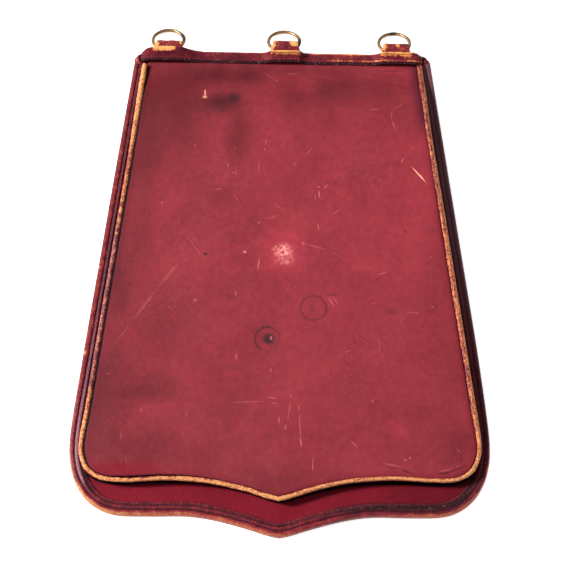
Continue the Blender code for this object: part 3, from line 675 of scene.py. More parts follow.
    # no painted seam shade shows on the flap's underside
    paintedSeamShade = paintedSeamShade * leather.along(where, "Z").fade(*dyeAndShade["underside"])
    colour = leather.mix(paintedSeamShade, colour, dyeAndShade["paintedSeamShade"])
    roughness = 0.52 - ridges * 0.1 + (cloud - 0.5) * 0.2 + paintedSeamShade * 0.5
    normal = leather.bump(height, 0.34, 0.00035)
    return leather.close(colour, roughness, normal, **{"Specular IOR Level": 0.14 if marked else 0.08})


def plainLeather(name, deep, light):
    leather = Finish(name)
    where = leather.place()
    cloud = leather.grainNoise(where, 60.0, 4.0)
    fine = leather.grainNoise(where, 1400.0, 3.0)
    cells = leather.cells(where, 620.0).fade(0.0, 0.15)
    colour = leather.mix(cloud.fade(0.25, 0.75), deep, light)
    colour = leather.mix((1.0 - cells) * 0.3, colour, deep)
    return leather.close(colour, 0.55 + (fine - 0.5) * 0.2,
                         leather.bump(cells * 0.6 + fine * 0.4, 0.35, 0.0003))


def threadFinish(name, dark, fleck):
    thread = Finish(name)
    where = thread.place()
    strands = thread.grainNoise(where, 1800.0, 2.0)
    worn = thread.grainNoise(where, 330.0, 3.0).fade(0.6, 0.72)
    colour = thread.mix(worn * 0.8, thread.mix(strands, dark, tuple(part * 2.0 for part in dark)), fleck)
    return thread.close(colour, 0.75 + strands * 0.2, thread.bump(strands, 0.4, 0.0002),
                        **{"Specular IOR Level": 0.03})


def brassFinish():
    brass = Finish("aged_brass_wire")
    where = brass.place()
    clouds = brass.grainNoise(where, 260.0, 4.0, 0.6)
    specks = brass.grainNoise(where, 1500.0, 3.0)
    # the ring's shade fact darkens the shadow side of each ring: painted shade, added to the patchy real
    # dulling
    dull = ((clouds - 0.5) * 1.6 + 0.4 + brass.fact("tarnish") * 0.75).fade(0.3, 1.1)
    colour = brass.mix(dull, (0.30, 0.185, 0.09), (0.05, 0.03, 0.018))
    colour = brass.mix(specks.fade(0.6, 0.75) * 0.6, colour, (0.05, 0.035, 0.02))
    roughness = 0.38 + dull * 0.25
    return brass.close(colour, roughness, brass.bump(specks + clouds, 0.25, 0.0002), Metallic=0.7)


bordeaux = {
    "coarse": 180.0, "fine": 850.0, "patchy": 0.6, "speckle": 0.9, "shade": (0.7, 0.6, 0.6),
    "lined": 0.5, "blotted": 0.35, "speck": 700.0, "specked": 0.5, "dark": (0.05, 0.010, 0.014),
    "stops": ((0.0, (0.045, 0.004, 0.009)), (0.2, (0.088, 0.009, 0.018)), (0.36, (0.20, 0.014, 0.020)),
              (0.5, (0.32, 0.034, 0.034)), (0.62, (0.37, 0.088, 0.045)), (0.76, (0.46, 0.145, 0.055)),
              (1.0, (0.68, 0.30, 0.13))),
    "bloom": (0.46, 0.19, 0.25), "wax": (0.020, 0.004, 0.006), "fleck": (0.20, 0.07, 0.07),
    "dull": 0.42, "relief": 0.6, "gloss": 0.16, "coat": 0.07, "paintedFillRight": 0.6, "paintedFillColour": (0.15, 0.062, 0.078),
}
tanRoll = dict(
    bordeaux, paintedFillRight=0.0, coarse=260.0, fine=1150.0, speckle=1.9, patchy=0.6, lined=1.9, blotted=1.9,
    coat=0.02, specked=0.75, dark=(0.14, 0.02, 0.012), gloss=0.2,
    stops=((0.0, (0.06, 0.005, 0.010)), (0.28, (0.15, 0.012, 0.018)), (0.42, (0.33, 0.05, 0.04)),
           (0.55, (0.50, 0.14, 0.065)), (0.78, (0.68, 0.245, 0.075)), (1.0, (0.82, 0.40, 0.17))))
bandLeather = dict(
    bordeaux, paintedFillRight=0.0, coarse=160.0, gloss=0.11, coat=0.02, dull=0.6, speckle=1.3,
    wax=(0.030, 0.007, 0.011), fleck=(0.26, 0.12, 0.10), lined=0.0, blotted=0.0,
    stops=((0.0, (0.064, 0.006, 0.014)), (0.3, (0.150, 0.012, 0.020)), (0.5, (0.27, 0.032, 0.032)),
           (0.62, (0.58, 0.16, 0.07)), (0.76, (0.78, 0.29, 0.07)), (1.0, (0.88, 0.42, 0.15))))


# Flap

def makeFlap(finishes):
    flap = {"inset": 1.8, "low": 1.5, "thick": 3.0, "shoulder": 101.5, "neck": 170.4,
            "top": 182.2, "headSteps": (4, 2, 108, 2, 4), "farOut": 9.0,
            # below this y a painted shadow of the pocket darkens the flap beyond its outline, this far out
            # by x
            "shade": -110.0,
            "shadeOut": ((-80.0, 1.9), (-50.0, 2.6), (-20.0, 2.9), (2.0, 2.2), (20.0, 2.2), (60.0, 1.9))}
    edge = wholeEdge(flapEdge, flapLeftIn)
    rim = movedIn(edge, flap["inset"])
    turn = edgeSteps * sum(y > bag["flapTurn"] for x, y in flapEdge)
    left, right = rim[:turn + 1], rim[:len(rim) - turn - 2:-1]
    foot = rim[turn:len(rim) - turn]
    shoulder, top = flap["shoulder"], flap["top"]
    head = [Vector(left[0]), Vector((-shoulder - 0.2, flap["neck"]))]
    head += [Vector((x, top + topSlant(x))) for x in (-shoulder, shoulder)]
    head += [Vector((shoulder + 0.2, flap["neck"])), Vector(right[0])]
    headLine = []
    for start, end, steps in zip(head, head[1:], flap["headSteps"]):
        headLine += [start.lerp(end, step / steps) for step in range(steps)]
    headLine.append(head[-1])

    pocketLine = [point for point, s in evenly(wholeEdge(pocketEdge, pocketLeftIn), 2.0)]
    pocketNormals = inwardNormals(pocketLine)

    def place(across, along):
        flat = patch(left, right, headLine, foot, across, along)
        lift = wander(3, flat.x, flat.y, 45.0, 0.25)
        beyond = flap["farOut"]
        if flat.y < flap["shade"]:
            near = min(range(len(pocketLine)), key=lambda index: (flat - pocketLine[index]).length_squared)
            beyond = (pocketLine[near] - flat).dot(pocketNormals[near])
        beyond += readTable(flap["shadeOut"], flat.x)
        return (flat.x, flat.y, flap["low"] + flap["thick"] / 2.0 + lift * 0.3), (beyond,)

    form = warpedSheet(120, 150, place, ("rim",), turned=True)
    addPiece("flap_leather", form, finishes["flap"], ["flap_panel"], thick=flap["thick"])
    makeFlapBorder(finishes)


def patch(left, right, head, foot, across, along):
    # a sheet spread between four edge lines
    a, b = lineAt(left, along), lineAt(right, along)
    c, d = lineAt(head, across), lineAt(foot, across)
    return (c * (1.0 - along) + d * along + a * (1.0 - across) + b * across
            - head[0] * (1.0 - across) * (1.0 - along) - head[-1] * across * (1.0 - along)
            - foot[0] * (1.0 - across) * along - foot[-1] * across * along)


def makeFlapBorder(finishes):
    border = {
        # section keys: mm in from the flap's edge, and height
        "keys": ((7.4, 0.05), (4.0, 0.0), (1.6, 0.0), (0.5, 0.45), (0.0, 1.8), (0.0, 3.8), (0.35, 5.1),
                 (0.95, 5.9), (1.7, 6.2), (2.5, 6.15), (3.1, 5.9), (3.5, 5.55), (3.85, 5.3), (4.2, 5.45),
                 (4.6, 5.75), (5.2, 5.95), (6.0, 5.9), (6.5, 5.65), (6.9, 5.3), (7.5, 5.2), (8.6, 5.3),
                 (9.3, 5.15), (9.4, 4.85), (5.0, 4.8), (1.9, 4.75), (1.5, 4.3), (1.5, 1.8), (1.9, 1.62),
                 (7.4, 1.62)),
        "top": (109.7, 176.5), "grooveAt": 3.85, "seamSides": 7.0, "seamFoot": 6.6,
        "rows": (("outer", 6.5, 4), ("inner", 8.0, 5)), "stitchLevel": 5.42,
        # wear of the outer roll: y down the left side, x along the foot, y up the right side
        "wearLeft": ((-150.0, 0.95), (-135.0, 0.9), (-110.0, 0.72), (-85.0, 0.62), (-30.0, 0.4),
                     (60.0, 0.34), (110.0, 0.3), (165.0, 0.26)),
        "wearFoot": ((-130.0, 0.88), (-100.0, 0.74), (-70.0, 0.66), (-40.0, 0.56), (-12.0, 0.68),
                     (8.0, 0.58), (25.0, 0.34), (60.0, 0.32), (90.0, 0.50), (112.0, 0.66), (130.0, 0.66)),
        # y, how much farther in the groove lies on the left; x, where the seam ends along the foot
        "grooveIn": ((-110.0, 0.0), (-75.0, 0.4), (-50.0, 0.6), (90.0, 0.6), (125.0, 0.25), (165.0, 0.1)),
        "seamEnd": ((-130.0, 7.9), (5.0, 7.7), (36.0, 6.6), (62.0, 7.2), (100.0, 8.3)),
        "wearRight": ((-160.0, 0.68), (-140.0, 0.6), (-120.0, 0.4), (-95.0, 0.26), (-60.0, 0.2),
                      (165.0, 0.14)),
        # wear of the part between the roll and the seam by x
        "calm": ((-130.0, 0.42), (0.0, 0.42), (30.0, 0.33), (60.0, 0.22), (130.0, 0.16)),
        # painted lilac sheen of the left ridge by y, where the key light catches it
        "paintedSheenLeft": ((-160.0, 0.6), (-135.0, 0.72), (-110.0, 0.7), (-85.0, 0.55), (-58.0, 0.45),
                      (-25.0, 0.33), (0.0, 0.28), (90.0, 0.16), (135.0, 0.05), (170.0, 0.0)),
    }
    section = curveThrough(border["keys"], 2, closed=True)
    path = evenly(runOn(wholeEdge(flapEdge, flapLeftIn), border["top"]), 1.25)
    normals = inwardNormals([point for point, s in path])

    def wearAt(point):
        if point.y < -150.0:
            return readTable(border["wearFoot"], point.x)
        return readTable(border["wearLeft"] if point.x < 0.0 else border["wearRight"], point.y)

    def place(step, around):
        point, s = path[step]
        inward, up = section[around]
        top = easeBetween(up, 3.0, 5.0)
        wave = wander(1, s, inward, 22.0, 0.16) + wander(2, s, inward * 3.0, 5.0, 0.07)
        aside = 0.0
        if point.x < 0.0:
            aside = readTable(border["grooveIn"], point.y) * easeBetween(inward, 1.0, 3.4)
            aside *= 1.0 - easeBetween(inward, 5.6, 7.4)
        flat = point + normals[step] * (inward + aside + wave * 0.6 * top)
        atFoot = easeBetween(-point.y, 146.0, 160.0)
        onLeft = 1.0 if point.x < 0.0 else 0.0
        onRoll = 1.0 - easeBetween(inward, 3.0, 3.5)
        onRidge = easeBetween(inward, 4.1, 4.6) * (1.0 - easeBetween(inward, 6.4, 6.9))
        edgeWear = wearAt(point)
        calm = readTable(border["calm"], point.x)
        if onLeft:
            # painted shade: the outer roll on the side toward the key light is kept darker to hold back that
            # light, apart from some nicks
            calm -= 0.20 * (1.0 - easeBetween(inward, 0.7, 2.0)) * (1.0 - atFoot)
            nick = wander(7, s, 0.0, 5.0, 1.0) + wander(9, s, 3.0, 16.0, 0.6)
            nick = easeBetween(nick, 0.35, 0.8) * easeBetween(-edgeWear, -0.62, -0.5)
            edgeWear += 0.6 * nick
        reach = 0.5 + 0.8 * atFoot + wander(6, s, 0.0, 7.0, 0.8) + (0.8 * nick if onLeft else 0.0)
        wear = edgeWear + (calm - edgeWear) * easeBetween(inward, reach, reach + 0.8)
        if up < 3.0:
            wear *= 0.75
        footRight = atFoot * easeBetween(point.x, 10.0, 60.0)
        ridgeWear = 0.24 + wander(5, s, 0.0, 40.0, 0.1) + 0.03 * atFoot - 0.08 * footRight
        ridgeWear -= 0.14 * onLeft * (1.0 - easeBetween(inward, 4.6, 5.1))
        groove = math.exp(-((inward - border["grooveAt"]) / 0.35) ** 2)
        wear = (wear * onRoll + ridgeWear * onRidge + 0.2 * (1.0 - onRoll) * (1.0 - onRidge)) - 0.1 * groove
        # inside the seam the foot has the flap's own colour
        seamEnd = readTable(border["seamEnd"], point.x)
        beyond = atFoot * easeBetween(inward, seamEnd, seamEnd + 0.3)
        wear += (0.27 - 0.13 * footRight - wear) * beyond
        seamAt = border["seamSides"] + (border["seamFoot"] - border["seamSides"]) * atFoot
        seamAt -= 1.9 * footRight
        wax = 0.9 - 0.42 * atFoot * (1.0 - easeBetween(point.x, 30.0, 80.0))
        wax *= easeBetween(inward, seamAt - 0.2, seamAt + 0.2) * easeBetween(up, 4.6, 4.9) * (1.0 - beyond)
        wax += (0.4 + 0.4 * footRight) * atFoot * math.exp(-((inward - border["grooveAt"]) / 0.4) ** 2)
        # painted lilac sheen on the left ridge and roll, the side facing the key light
        bloom = readTable(border["paintedSheenLeft"], point.y) * onLeft * (1.0 - atFoot)
        bloom *= onRidge + 0.5 * onRoll * easeBetween(-point.y, 30.0, 90.0)
        return (flat.x, flat.y, max(up + wave * top, 0.0)), (wear, wax, bloom, s, inward)

    form = sweptStrip(path, section, place, edgeFacts)
    addPiece("flap_border", form, finishes["border"], ["flap_binding"])
    stitch = {"pitch": 2.7, "long": 2.0, "wide": 0.6, "high": 0.5, "slant": 12.0}
    for name, inward, seed in border["rows"]:
        rows = [(point + normal * inward, border["stitchLevel"], s)
                for (point, s), normal in zip(path, normals)]
        stitchRow("flap_border_stitches_" + name, finishes, rows, dict(stitch, seed=seed), "bandThread")


def stitchRow(name, finishes, rows, stitch, finish="thread"):
    # one rounded stitch after another along rows of (point, height, distance)
    dice = random.Random(stitch["seed"])
    form = bmesh.new()
    total, index, count = rows[-1][2], 0, 0
    goal = stitch["pitch"]
    while goal < total - stitch["pitch"]:
        while rows[index + 1][2] < goal:
            index += 1
        point, height, s = rows[index]
        ahead = (rows[index + 1][0] - point).normalized()
        share = (goal - s) / max(rows[index + 1][2] - s, 1e-6)
        middle = point.lerp(rows[index + 1][0], share)
        height = height + (rows[index + 1][1] - height) * share
        turn = math.atan2(ahead.y, ahead.x) + math.radians(stitch["slant"] + dice.uniform(-6.0, 6.0))
        long = stitch["long"] * dice.uniform(0.85, 1.08) / 2.0
        wide = stitch["wide"] / 2.0 * dice.uniform(0.85, 1.15)
        size = (long, wide, stitch["high"] / 2.0)
        x = middle.x + dice.uniform(-0.1, 0.1)
        spot = Matrix.Translation((x, middle.y + dice.uniform(-0.1, 0.1), height))
        pose = spot @ Matrix.Rotation(turn, 4, "Z") @ Matrix.Diagonal((*size, 1.0))
        bmesh.ops.create_icosphere(form, subdivisions=1, radius=1.0, matrix=pose)
        goal += stitch["pitch"] * dice.uniform(0.94, 1.06)
        count += 1
    addPiece(name, form, finishes[finish])
    print(name, count, "stitches")


# Pocket

def backLow(y):
    return 4.8 + 7.5 * pocketSlope(y)


def makePocket(finishes):
    pocket = {"thick": 1.8, "crown": 1.35, "fullness": 0.85, "crownFoot": 0.25, "inset": 3.6, "top": 179.2,
              "headStep": 0.6, "mouth": 148.0, "frontInset": 3.4, "frontLow": 4.8, "frontThick": 1.5}
    creases = (   # start x, y, end x, y, depth, width
        (69.0, -138.2, 94.0, -144.5, 0.3, 1.2), (108.0, -144.6, 128.6, -138.6, 0.38, 1.1),
        (20.0, 160.5, 72.0, 161.5, 0.22, 1.3), (40.0, 154.5, 98.0, 156.0, 0.2, 1.5),
        (-6.0, 163.5, 30.0, 160.0, 0.16, 1.2), (-128.0, -125.0, -96.0, -142.5, 0.2, 3.0),
        (60.0, 150.0, 100.0, 149.0, 0.15, 1.4), (-96.0, 150.0, -60.0, 158.0, 0.12, 2.0),
    )
    edge = wholeEdge(pocketEdge, pocketLeftIn)
    rim = movedIn(edge, pocket["inset"])
    turn = edgeSteps * sum(y > bag["pocketTurn"] for x, y in pocketEdge)
    left, right = rim[:turn + 1], rim[:len(rim) - turn - 2:-1]
    foot = rim[turn:len(rim) - turn]
    half = rim[-1].x - pocket["headStep"]
    corners = [Vector((side * half, pocket["top"] + topSlant(side * half))) for side in (-1.0, 1.0)]
    left = [corners[0].lerp(left[0], s / 5) for s in range(5)] + left
    right = [corners[1].lerp(right[0], s / 5) for s in range(5)] + right
    head = [corners[0].lerp(corners[1], s / 100) for s in range(101)]
    rimSpots = [p for p, s in evenly(rim, 1.5)]

    def toRim(flat):
        return min((flat - spot).length_squared for spot in rimSpots) ** 0.5

    def crease(flat):
        dip = 0.0
        for x0, y0, x1, y1, depth, wide in creases:
            run = Vector((x1 - x0, y1 - y0))
            share = (flat - Vector((x0, y0))).dot(run) / run.length_squared
            if -0.1 < share < 1.1:
                near = Vector((x0, y0)) + run * min(max(share, 0.0), 1.0)
                near.y += 1.4 * math.sin(share * 9.0 + x0)
                away = (flat - near).length / wide
                if away < 4.0:
                    ends = easeBetween(share, -0.1, 0.2) * (1.0 - easeBetween(share, 0.8, 1.1))
                    dip -= depth * math.exp(-away * away) * ends
                    dip += depth * 0.6 * math.exp(-(away - 2.0) ** 2) * ends
        return dip

    def place(across, along):
        flat = patch(left, right, head, foot, across, along)
        crown = pocket["crown"] * math.sin(math.pi * min(max(across, 0.0), 1.0)) ** pocket["fullness"]
        crown *= pocketSlope(flat.y) * easeBetween(1.0 - along, 0.0, pocket["crownFoot"])
        edgeBand = min(across, 1.0 - across) < 0.07 or along > 0.93
        rimAway = toRim(flat) if edgeBand else 12.0
        up = backLow(flat.y) + pocket["thick"] / 2.0 + crown + crease(flat)
        up += wander(11, flat.x, flat.y, 38.0, 0.4) + wander(12, flat.x, flat.y, 14.0, 0.12)
        up -= 0.5 * (1.0 - easeBetween(rimAway, 0.0, 1.4))
        # the painted shade line along the seam is narrower on the left and hardly shows at the foot and on
        # the right
        thin = 0.35 + 0.8 * easeBetween(flat.x, -20.0, 60.0) * easeBetween(flat.y, -150.0, -120.0)
        thinFoot = 0.9 + 0.4 * easeBetween(flat.x, -80.0, -20.0)
        thin = max(thin, thinFoot * easeBetween(-flat.y, 128.0, 143.0))
        return (flat.x, flat.y, up), (rimAway + thin,)

    form = warpedSheet(170, 190, place, ("rim",), turned=True)
    addPiece("pocket_panel", form, finishes["panel"], ["pocket_back"],
             thick=pocket["thick"])

    mouth, front = pocket["mouth"], movedIn(edge, pocket["frontInset"])
    sides = [p for p in front if p.y < mouth]
    turnFront = sum(p.y > bag["pocketTurn"] for p in sides[:len(sides) // 2])
    leftFront = [Vector((sides[0].x, mouth))] + sides[:turnFront + 1]
    rightFront = [Vector((sides[-1].x, mouth))] + sides[:len(sides) - turnFront - 2:-1]
    footFront = sides[turnFront:len(sides) - turnFront]
    headFront = [leftFront[0].lerp(rightFront[0], s / 60) for s in range(61)]

    def placeFront(across, along):
        flat = patch(leftFront, rightFront, headFront, footFront, across, along)
        up = pocket["frontLow"] + pocket["frontThick"] / 2.0
        return (flat.x, flat.y, up), (9.0,)

    form = warpedSheet(70, 80, placeFront, ("rim",), turned=True)
    addPiece("pocket_inner_wall", form, finishes["flap"], ["pocket_front"],
             thick=pocket["frontThick"])
    makeGusset(finishes, edge)
    makePiping(finishes, edge)


def makeGusset(finishes, edge):
    gusset = {"inset": 4.35, "end": 160.0, "low": 6.6, "lowTop": 4.8, "thick": 1.5, "bulge": 0.5}
    wall = [p for p in movedIn(edge, gusset["inset"]) if p.y < gusset["end"]]
    line = [point for point, s in evenly(wall, 2.0)]
    normals = inwardNormals(line)

    def place(across, along):
        index = round(across * (len(line) - 1))
        point = line[index]
        overMouth = easeBetween(point.y, 151.0, gusset["end"] - 2.0)
        low = gusset["low"] - (gusset["low"] - gusset["lowTop"]) * overMouth
        steep = 4.0 * pocketSlope(point.y) * (1.0 - pocketSlope(point.y))
        high = backLow(point.y) - 0.3 - 0.3 * steep
        out = gusset["bulge"] * math.sin(math.pi * along) * (1.0 + wander(8, index * 2.0, 0.0, 16.0, 1.2))
        flat = point - normals[index] * out
        return (flat.x, flat.y, low + (high - low) * along), ()

    form = warpedSheet(len(line) - 1, 8, place)
    addPiece("pocket_side_wall", form, finishes["dark"], ["pocket_gusset"],
             thick=gusset["thick"])


def makePiping(finishes, edge):
    piping = {
        "wide": 3.5, "half": 2.2, "level": 12.4, "levelAtBand": 8.2, "small": 0.9, "points": 20,
        "footEnd": -146.0, "stitchIn": 3.85, "stitchUp": 1.2, "stitchTop": 168.0,
        "top": (103.2, 172.0), "fuller": 0.35,
        # how much wider it is down the left side by y and along the foot by x, and how far in by x
        "leftWide": ((60.0, 1.0), (110.0, 1.08), (130.0, 1.24), (160.0, 1.34), (172.0, 1.2)),
        "footWide": ((-130.0, 0.95), (-100.0, 0.84), (-50.0, 1.0), (0.0, 1.0), (40.0, 0.9), (100.0, 0.82),
                     (130.0, 0.9)),
        "footIn": ((-125.0, 0.1), (-100.0, -0.55), (-50.0, 0.0), (0.0, 0.0), (40.0, 0.5), (110.0, 0.75),
                   (130.0, 0.3)),
        # wear: y down the left side, x along the foot, y up the right side
        "wearLeft": ((-145.0, 0.85), (-105.0, 0.78), (-92.0, 0.6), (-60.0, 0.45), (0.0, 0.4), (40.0, 0.46),
                     (70.0, 0.58), (100.0, 0.68), (125.0, 0.82), (165.0, 0.92)),
        "wearFoot": ((-125.0, 0.86), (-60.0, 0.78), (0.0, 0.84), (60.0, 0.78), (125.0, 0.86)),
        "wearRight": ((-145.0, 0.82), (-120.0, 0.66), (-95.0, 0.5), (-60.0, 0.47), (-30.0, 0.54),
                      (20.0, 0.58), (60.0, 0.48), (100.0, 0.46), (130.0, 0.44), (150.0, 0.44),
                      (168.0, 0.48)),
        "centreWear": ((-100.0, 0.0), (-60.0, 0.06), (60.0, 0.1), (100.0, 0.14), (165.0, 0.16)),
    }
    path = evenly(runOn(wholeEdge(pocketEdge, pocketLeftIn), piping["top"]), 1.0)
    normals = inwardNormals([point for point, s in path])
    count = piping["points"]
    turns = [2.0 * math.pi * i / count - math.pi / 2.0 for i in range(count)]
    section = [(math.cos(turn), math.sin(turn)) for turn in turns]

    def place(step, around):
        point, s = path[step]
        side, rise = section[around]
        slope = pocketSlope(point.y)
        size = piping["small"] + (1.0 - piping["small"]) * slope
        level = piping["levelAtBand"] + (piping["level"] - piping["levelAtBand"]) * slope
        lump = 1.0 + wander(21, s, around, 9.0, 0.07) + wander(22, s, around * 2.0, 2.6, 0.07)
        wide = piping["wide"] / 2.0 * size * lump
        high = piping["half"] * size * lump
        drift = wander(23, s, 0.0, 30.0, 0.25)
        fuller = piping["fuller"] * easeBetween(point.x, 60.0, 100.0) * easeBetween(point.y, -130.0, -90.0)
        if point.y < -120.0:
            wide *= readTable(piping["footWide"], point.x)
            drift += 2.0 * readTable(piping["footIn"], point.x) * easeBetween(-point.y, 120.0, 140.0)
        if point.x < 0.0:
            wide *= readTable(piping["leftWide"], point.y)
        else:
            drift += 1.3 * easeBetween(point.y, 50.0, 110.0)
        reach = piping["wide"] / 2.0 * size - fuller + side * (wide + fuller) + drift * 0.5
        flat = point + normals[step] * reach
        onFoot = point.y < piping["footEnd"]
        onRight = point.x > 0.0 and not onFoot
        if onFoot:
            wear = readTable(piping["wearFoot"], point.x)
        elif onRight:
            wear = readTable(piping["wearRight"], point.y)
        else:
            wear = readTable(piping["wearLeft"], point.y)
        centre = math.exp(-(side / 0.4) ** 2) if rise > 0.0 else 0.0
        flank = 0.36
        if onRight:
            wear += 0.2 * (1.0 - centre) - readTable(piping["centreWear"], point.y) * centre
            wear -= 0.22 * easeBetween(side, 0.0, 0.7)
            flank = 0.14
        elif onFoot:
            wear += 0.12 * easeBetween(-side, 0.0, 0.7) - 0.3 * easeBetween(side, -0.1, 0.75)
            flank = 0.3
        elif wear < 0.7:
            wear += 0.2 * easeBetween(side, 0.3, 0.75) - 0.05
        else:
            flank = 0.16
        if rise < -0.2:
            wear *= 0.7
        wear -= flank * easeBetween(abs(side), 0.7, 0.96)
        wax = 0.42 * easeBetween(abs(side), 0.86, 0.98) * (1.0 if rise > -0.5 else 0.0)
        if side > 0.0 and (onRight or onFoot):
            wax = 0.0
        # painted lilac sheen down the middle of the left side, which faces the key light
        bloom = 0.0
        if not onRight:
            bloom = 0.36 * easeBetween(point.y, -100.0, -60.0) * (1.0 - easeBetween(point.y, 20.0, 60.0))
        nicked = (3.0, 0.5) if point.x < 0.0 else (1.3, 0.3)
        wear += wander(24, s, around * 0.4, *nicked) * (1.0 - easeBetween(wear, 0.66, 0.95))
        return (flat.x, flat.y, level + rise * high), (wear, wax, bloom, s, turns[around] * 2.0)

    form = sweptStrip(path, section, place, edgeFacts)
    addPiece("pocket_piping", form, finishes["piping"], ["pocket_binding"])
    rows = []
    for (point, s), normal in zip(path, normals):
        if point.y < piping["stitchTop"]:
            hidden = max(easeBetween(point.x, -20.0, 60.0), easeBetween(-point.y, 128.0, 143.0))
            height = backLow(point.y) + piping["stitchUp"] - 0.4 * hidden
            rows.append((point + normal * (piping["stitchIn"] - 0.5 * hidden), height, s - path[0][1]))
    stitchRow("pocket_seam_stitches", finishes, rows,
              {"pitch": 2.6, "long": 2.2, "wide": 0.6, "high": 0.5, "slant": 6.0, "seed": 9})


# Band, loops and rings

loops = (   # name, x, width, forward
    ("left", -84.0, 18.6, 0.0), ("middle", 2.0, 18.6, 0.2), ("right", 84.0, 18.6, 0.2))
# half sections of the band (y, z) where it lies flat and where it stands over a loop
bandLow = (
    (172.9, 0.6), (177.5, 0.6), (181.8, 0.6), (183.2, 1.3), (183.8, 2.6), (183.9, 4.0), (183.8, 5.2),
    (183.4, 6.4), (182.5, 7.2), (181.0, 7.5), (179.4, 7.5), (177.6, 7.5), (175.4, 7.5), (172.9, 7.5))
bandHigh = (
    (172.9, 0.6), (177.5, 0.6), (181.8, 0.6), (183.2, 1.3), (183.7, 3.2), (183.7, 6.5), (183.6, 9.5),
    (183.4, 12.6), (182.6, 14.3), (181.0, 14.3), (179.2, 13.0), (177.6, 11.3), (175.4, 10.6), (172.9, 10.5))
bandShape = (   # x, how full the band stands, how far its crest leans toward the bag
    (-104.1, 0.05, 3.0), (-102.6, 0.5, 2.0), (-99.8, 0.9, 1.4), (-96.0, 1.0, 1.0), (-93.0, 1.0, 0.1),
    (-75.0, 1.0, 0.1), (-71.0, 0.7, 0.5), (-65.0, 0.25, 0.6), (-58.0, 0.0, 0.6), (-15.0, 0.0, 0.6),
    (-11.5, 0.35, 1.3), (-8.5, 1.0, 2.2), (12.5, 1.0, 2.2), (15.5, 0.35, 1.5), (19.0, 0.0, 0.6),
    (66.0, 0.0, 0.6), (70.5, 0.35, 1.2), (74.0, 1.0, 2.0), (95.0, 1.0, 2.0), (99.5, 0.85, 2.3),
    (101.8, 0.5, 2.9), (103.2, 0.1, 3.6))


def bandAt(x, column):
    # one column of bandShape at x, its corners rounded off
    spread = (-0.9, -0.3, 0.3, 0.9)
    return sum(readTable([(row[0], row[column]) for row in bandShape], x + step) for step in spread) / 4.0


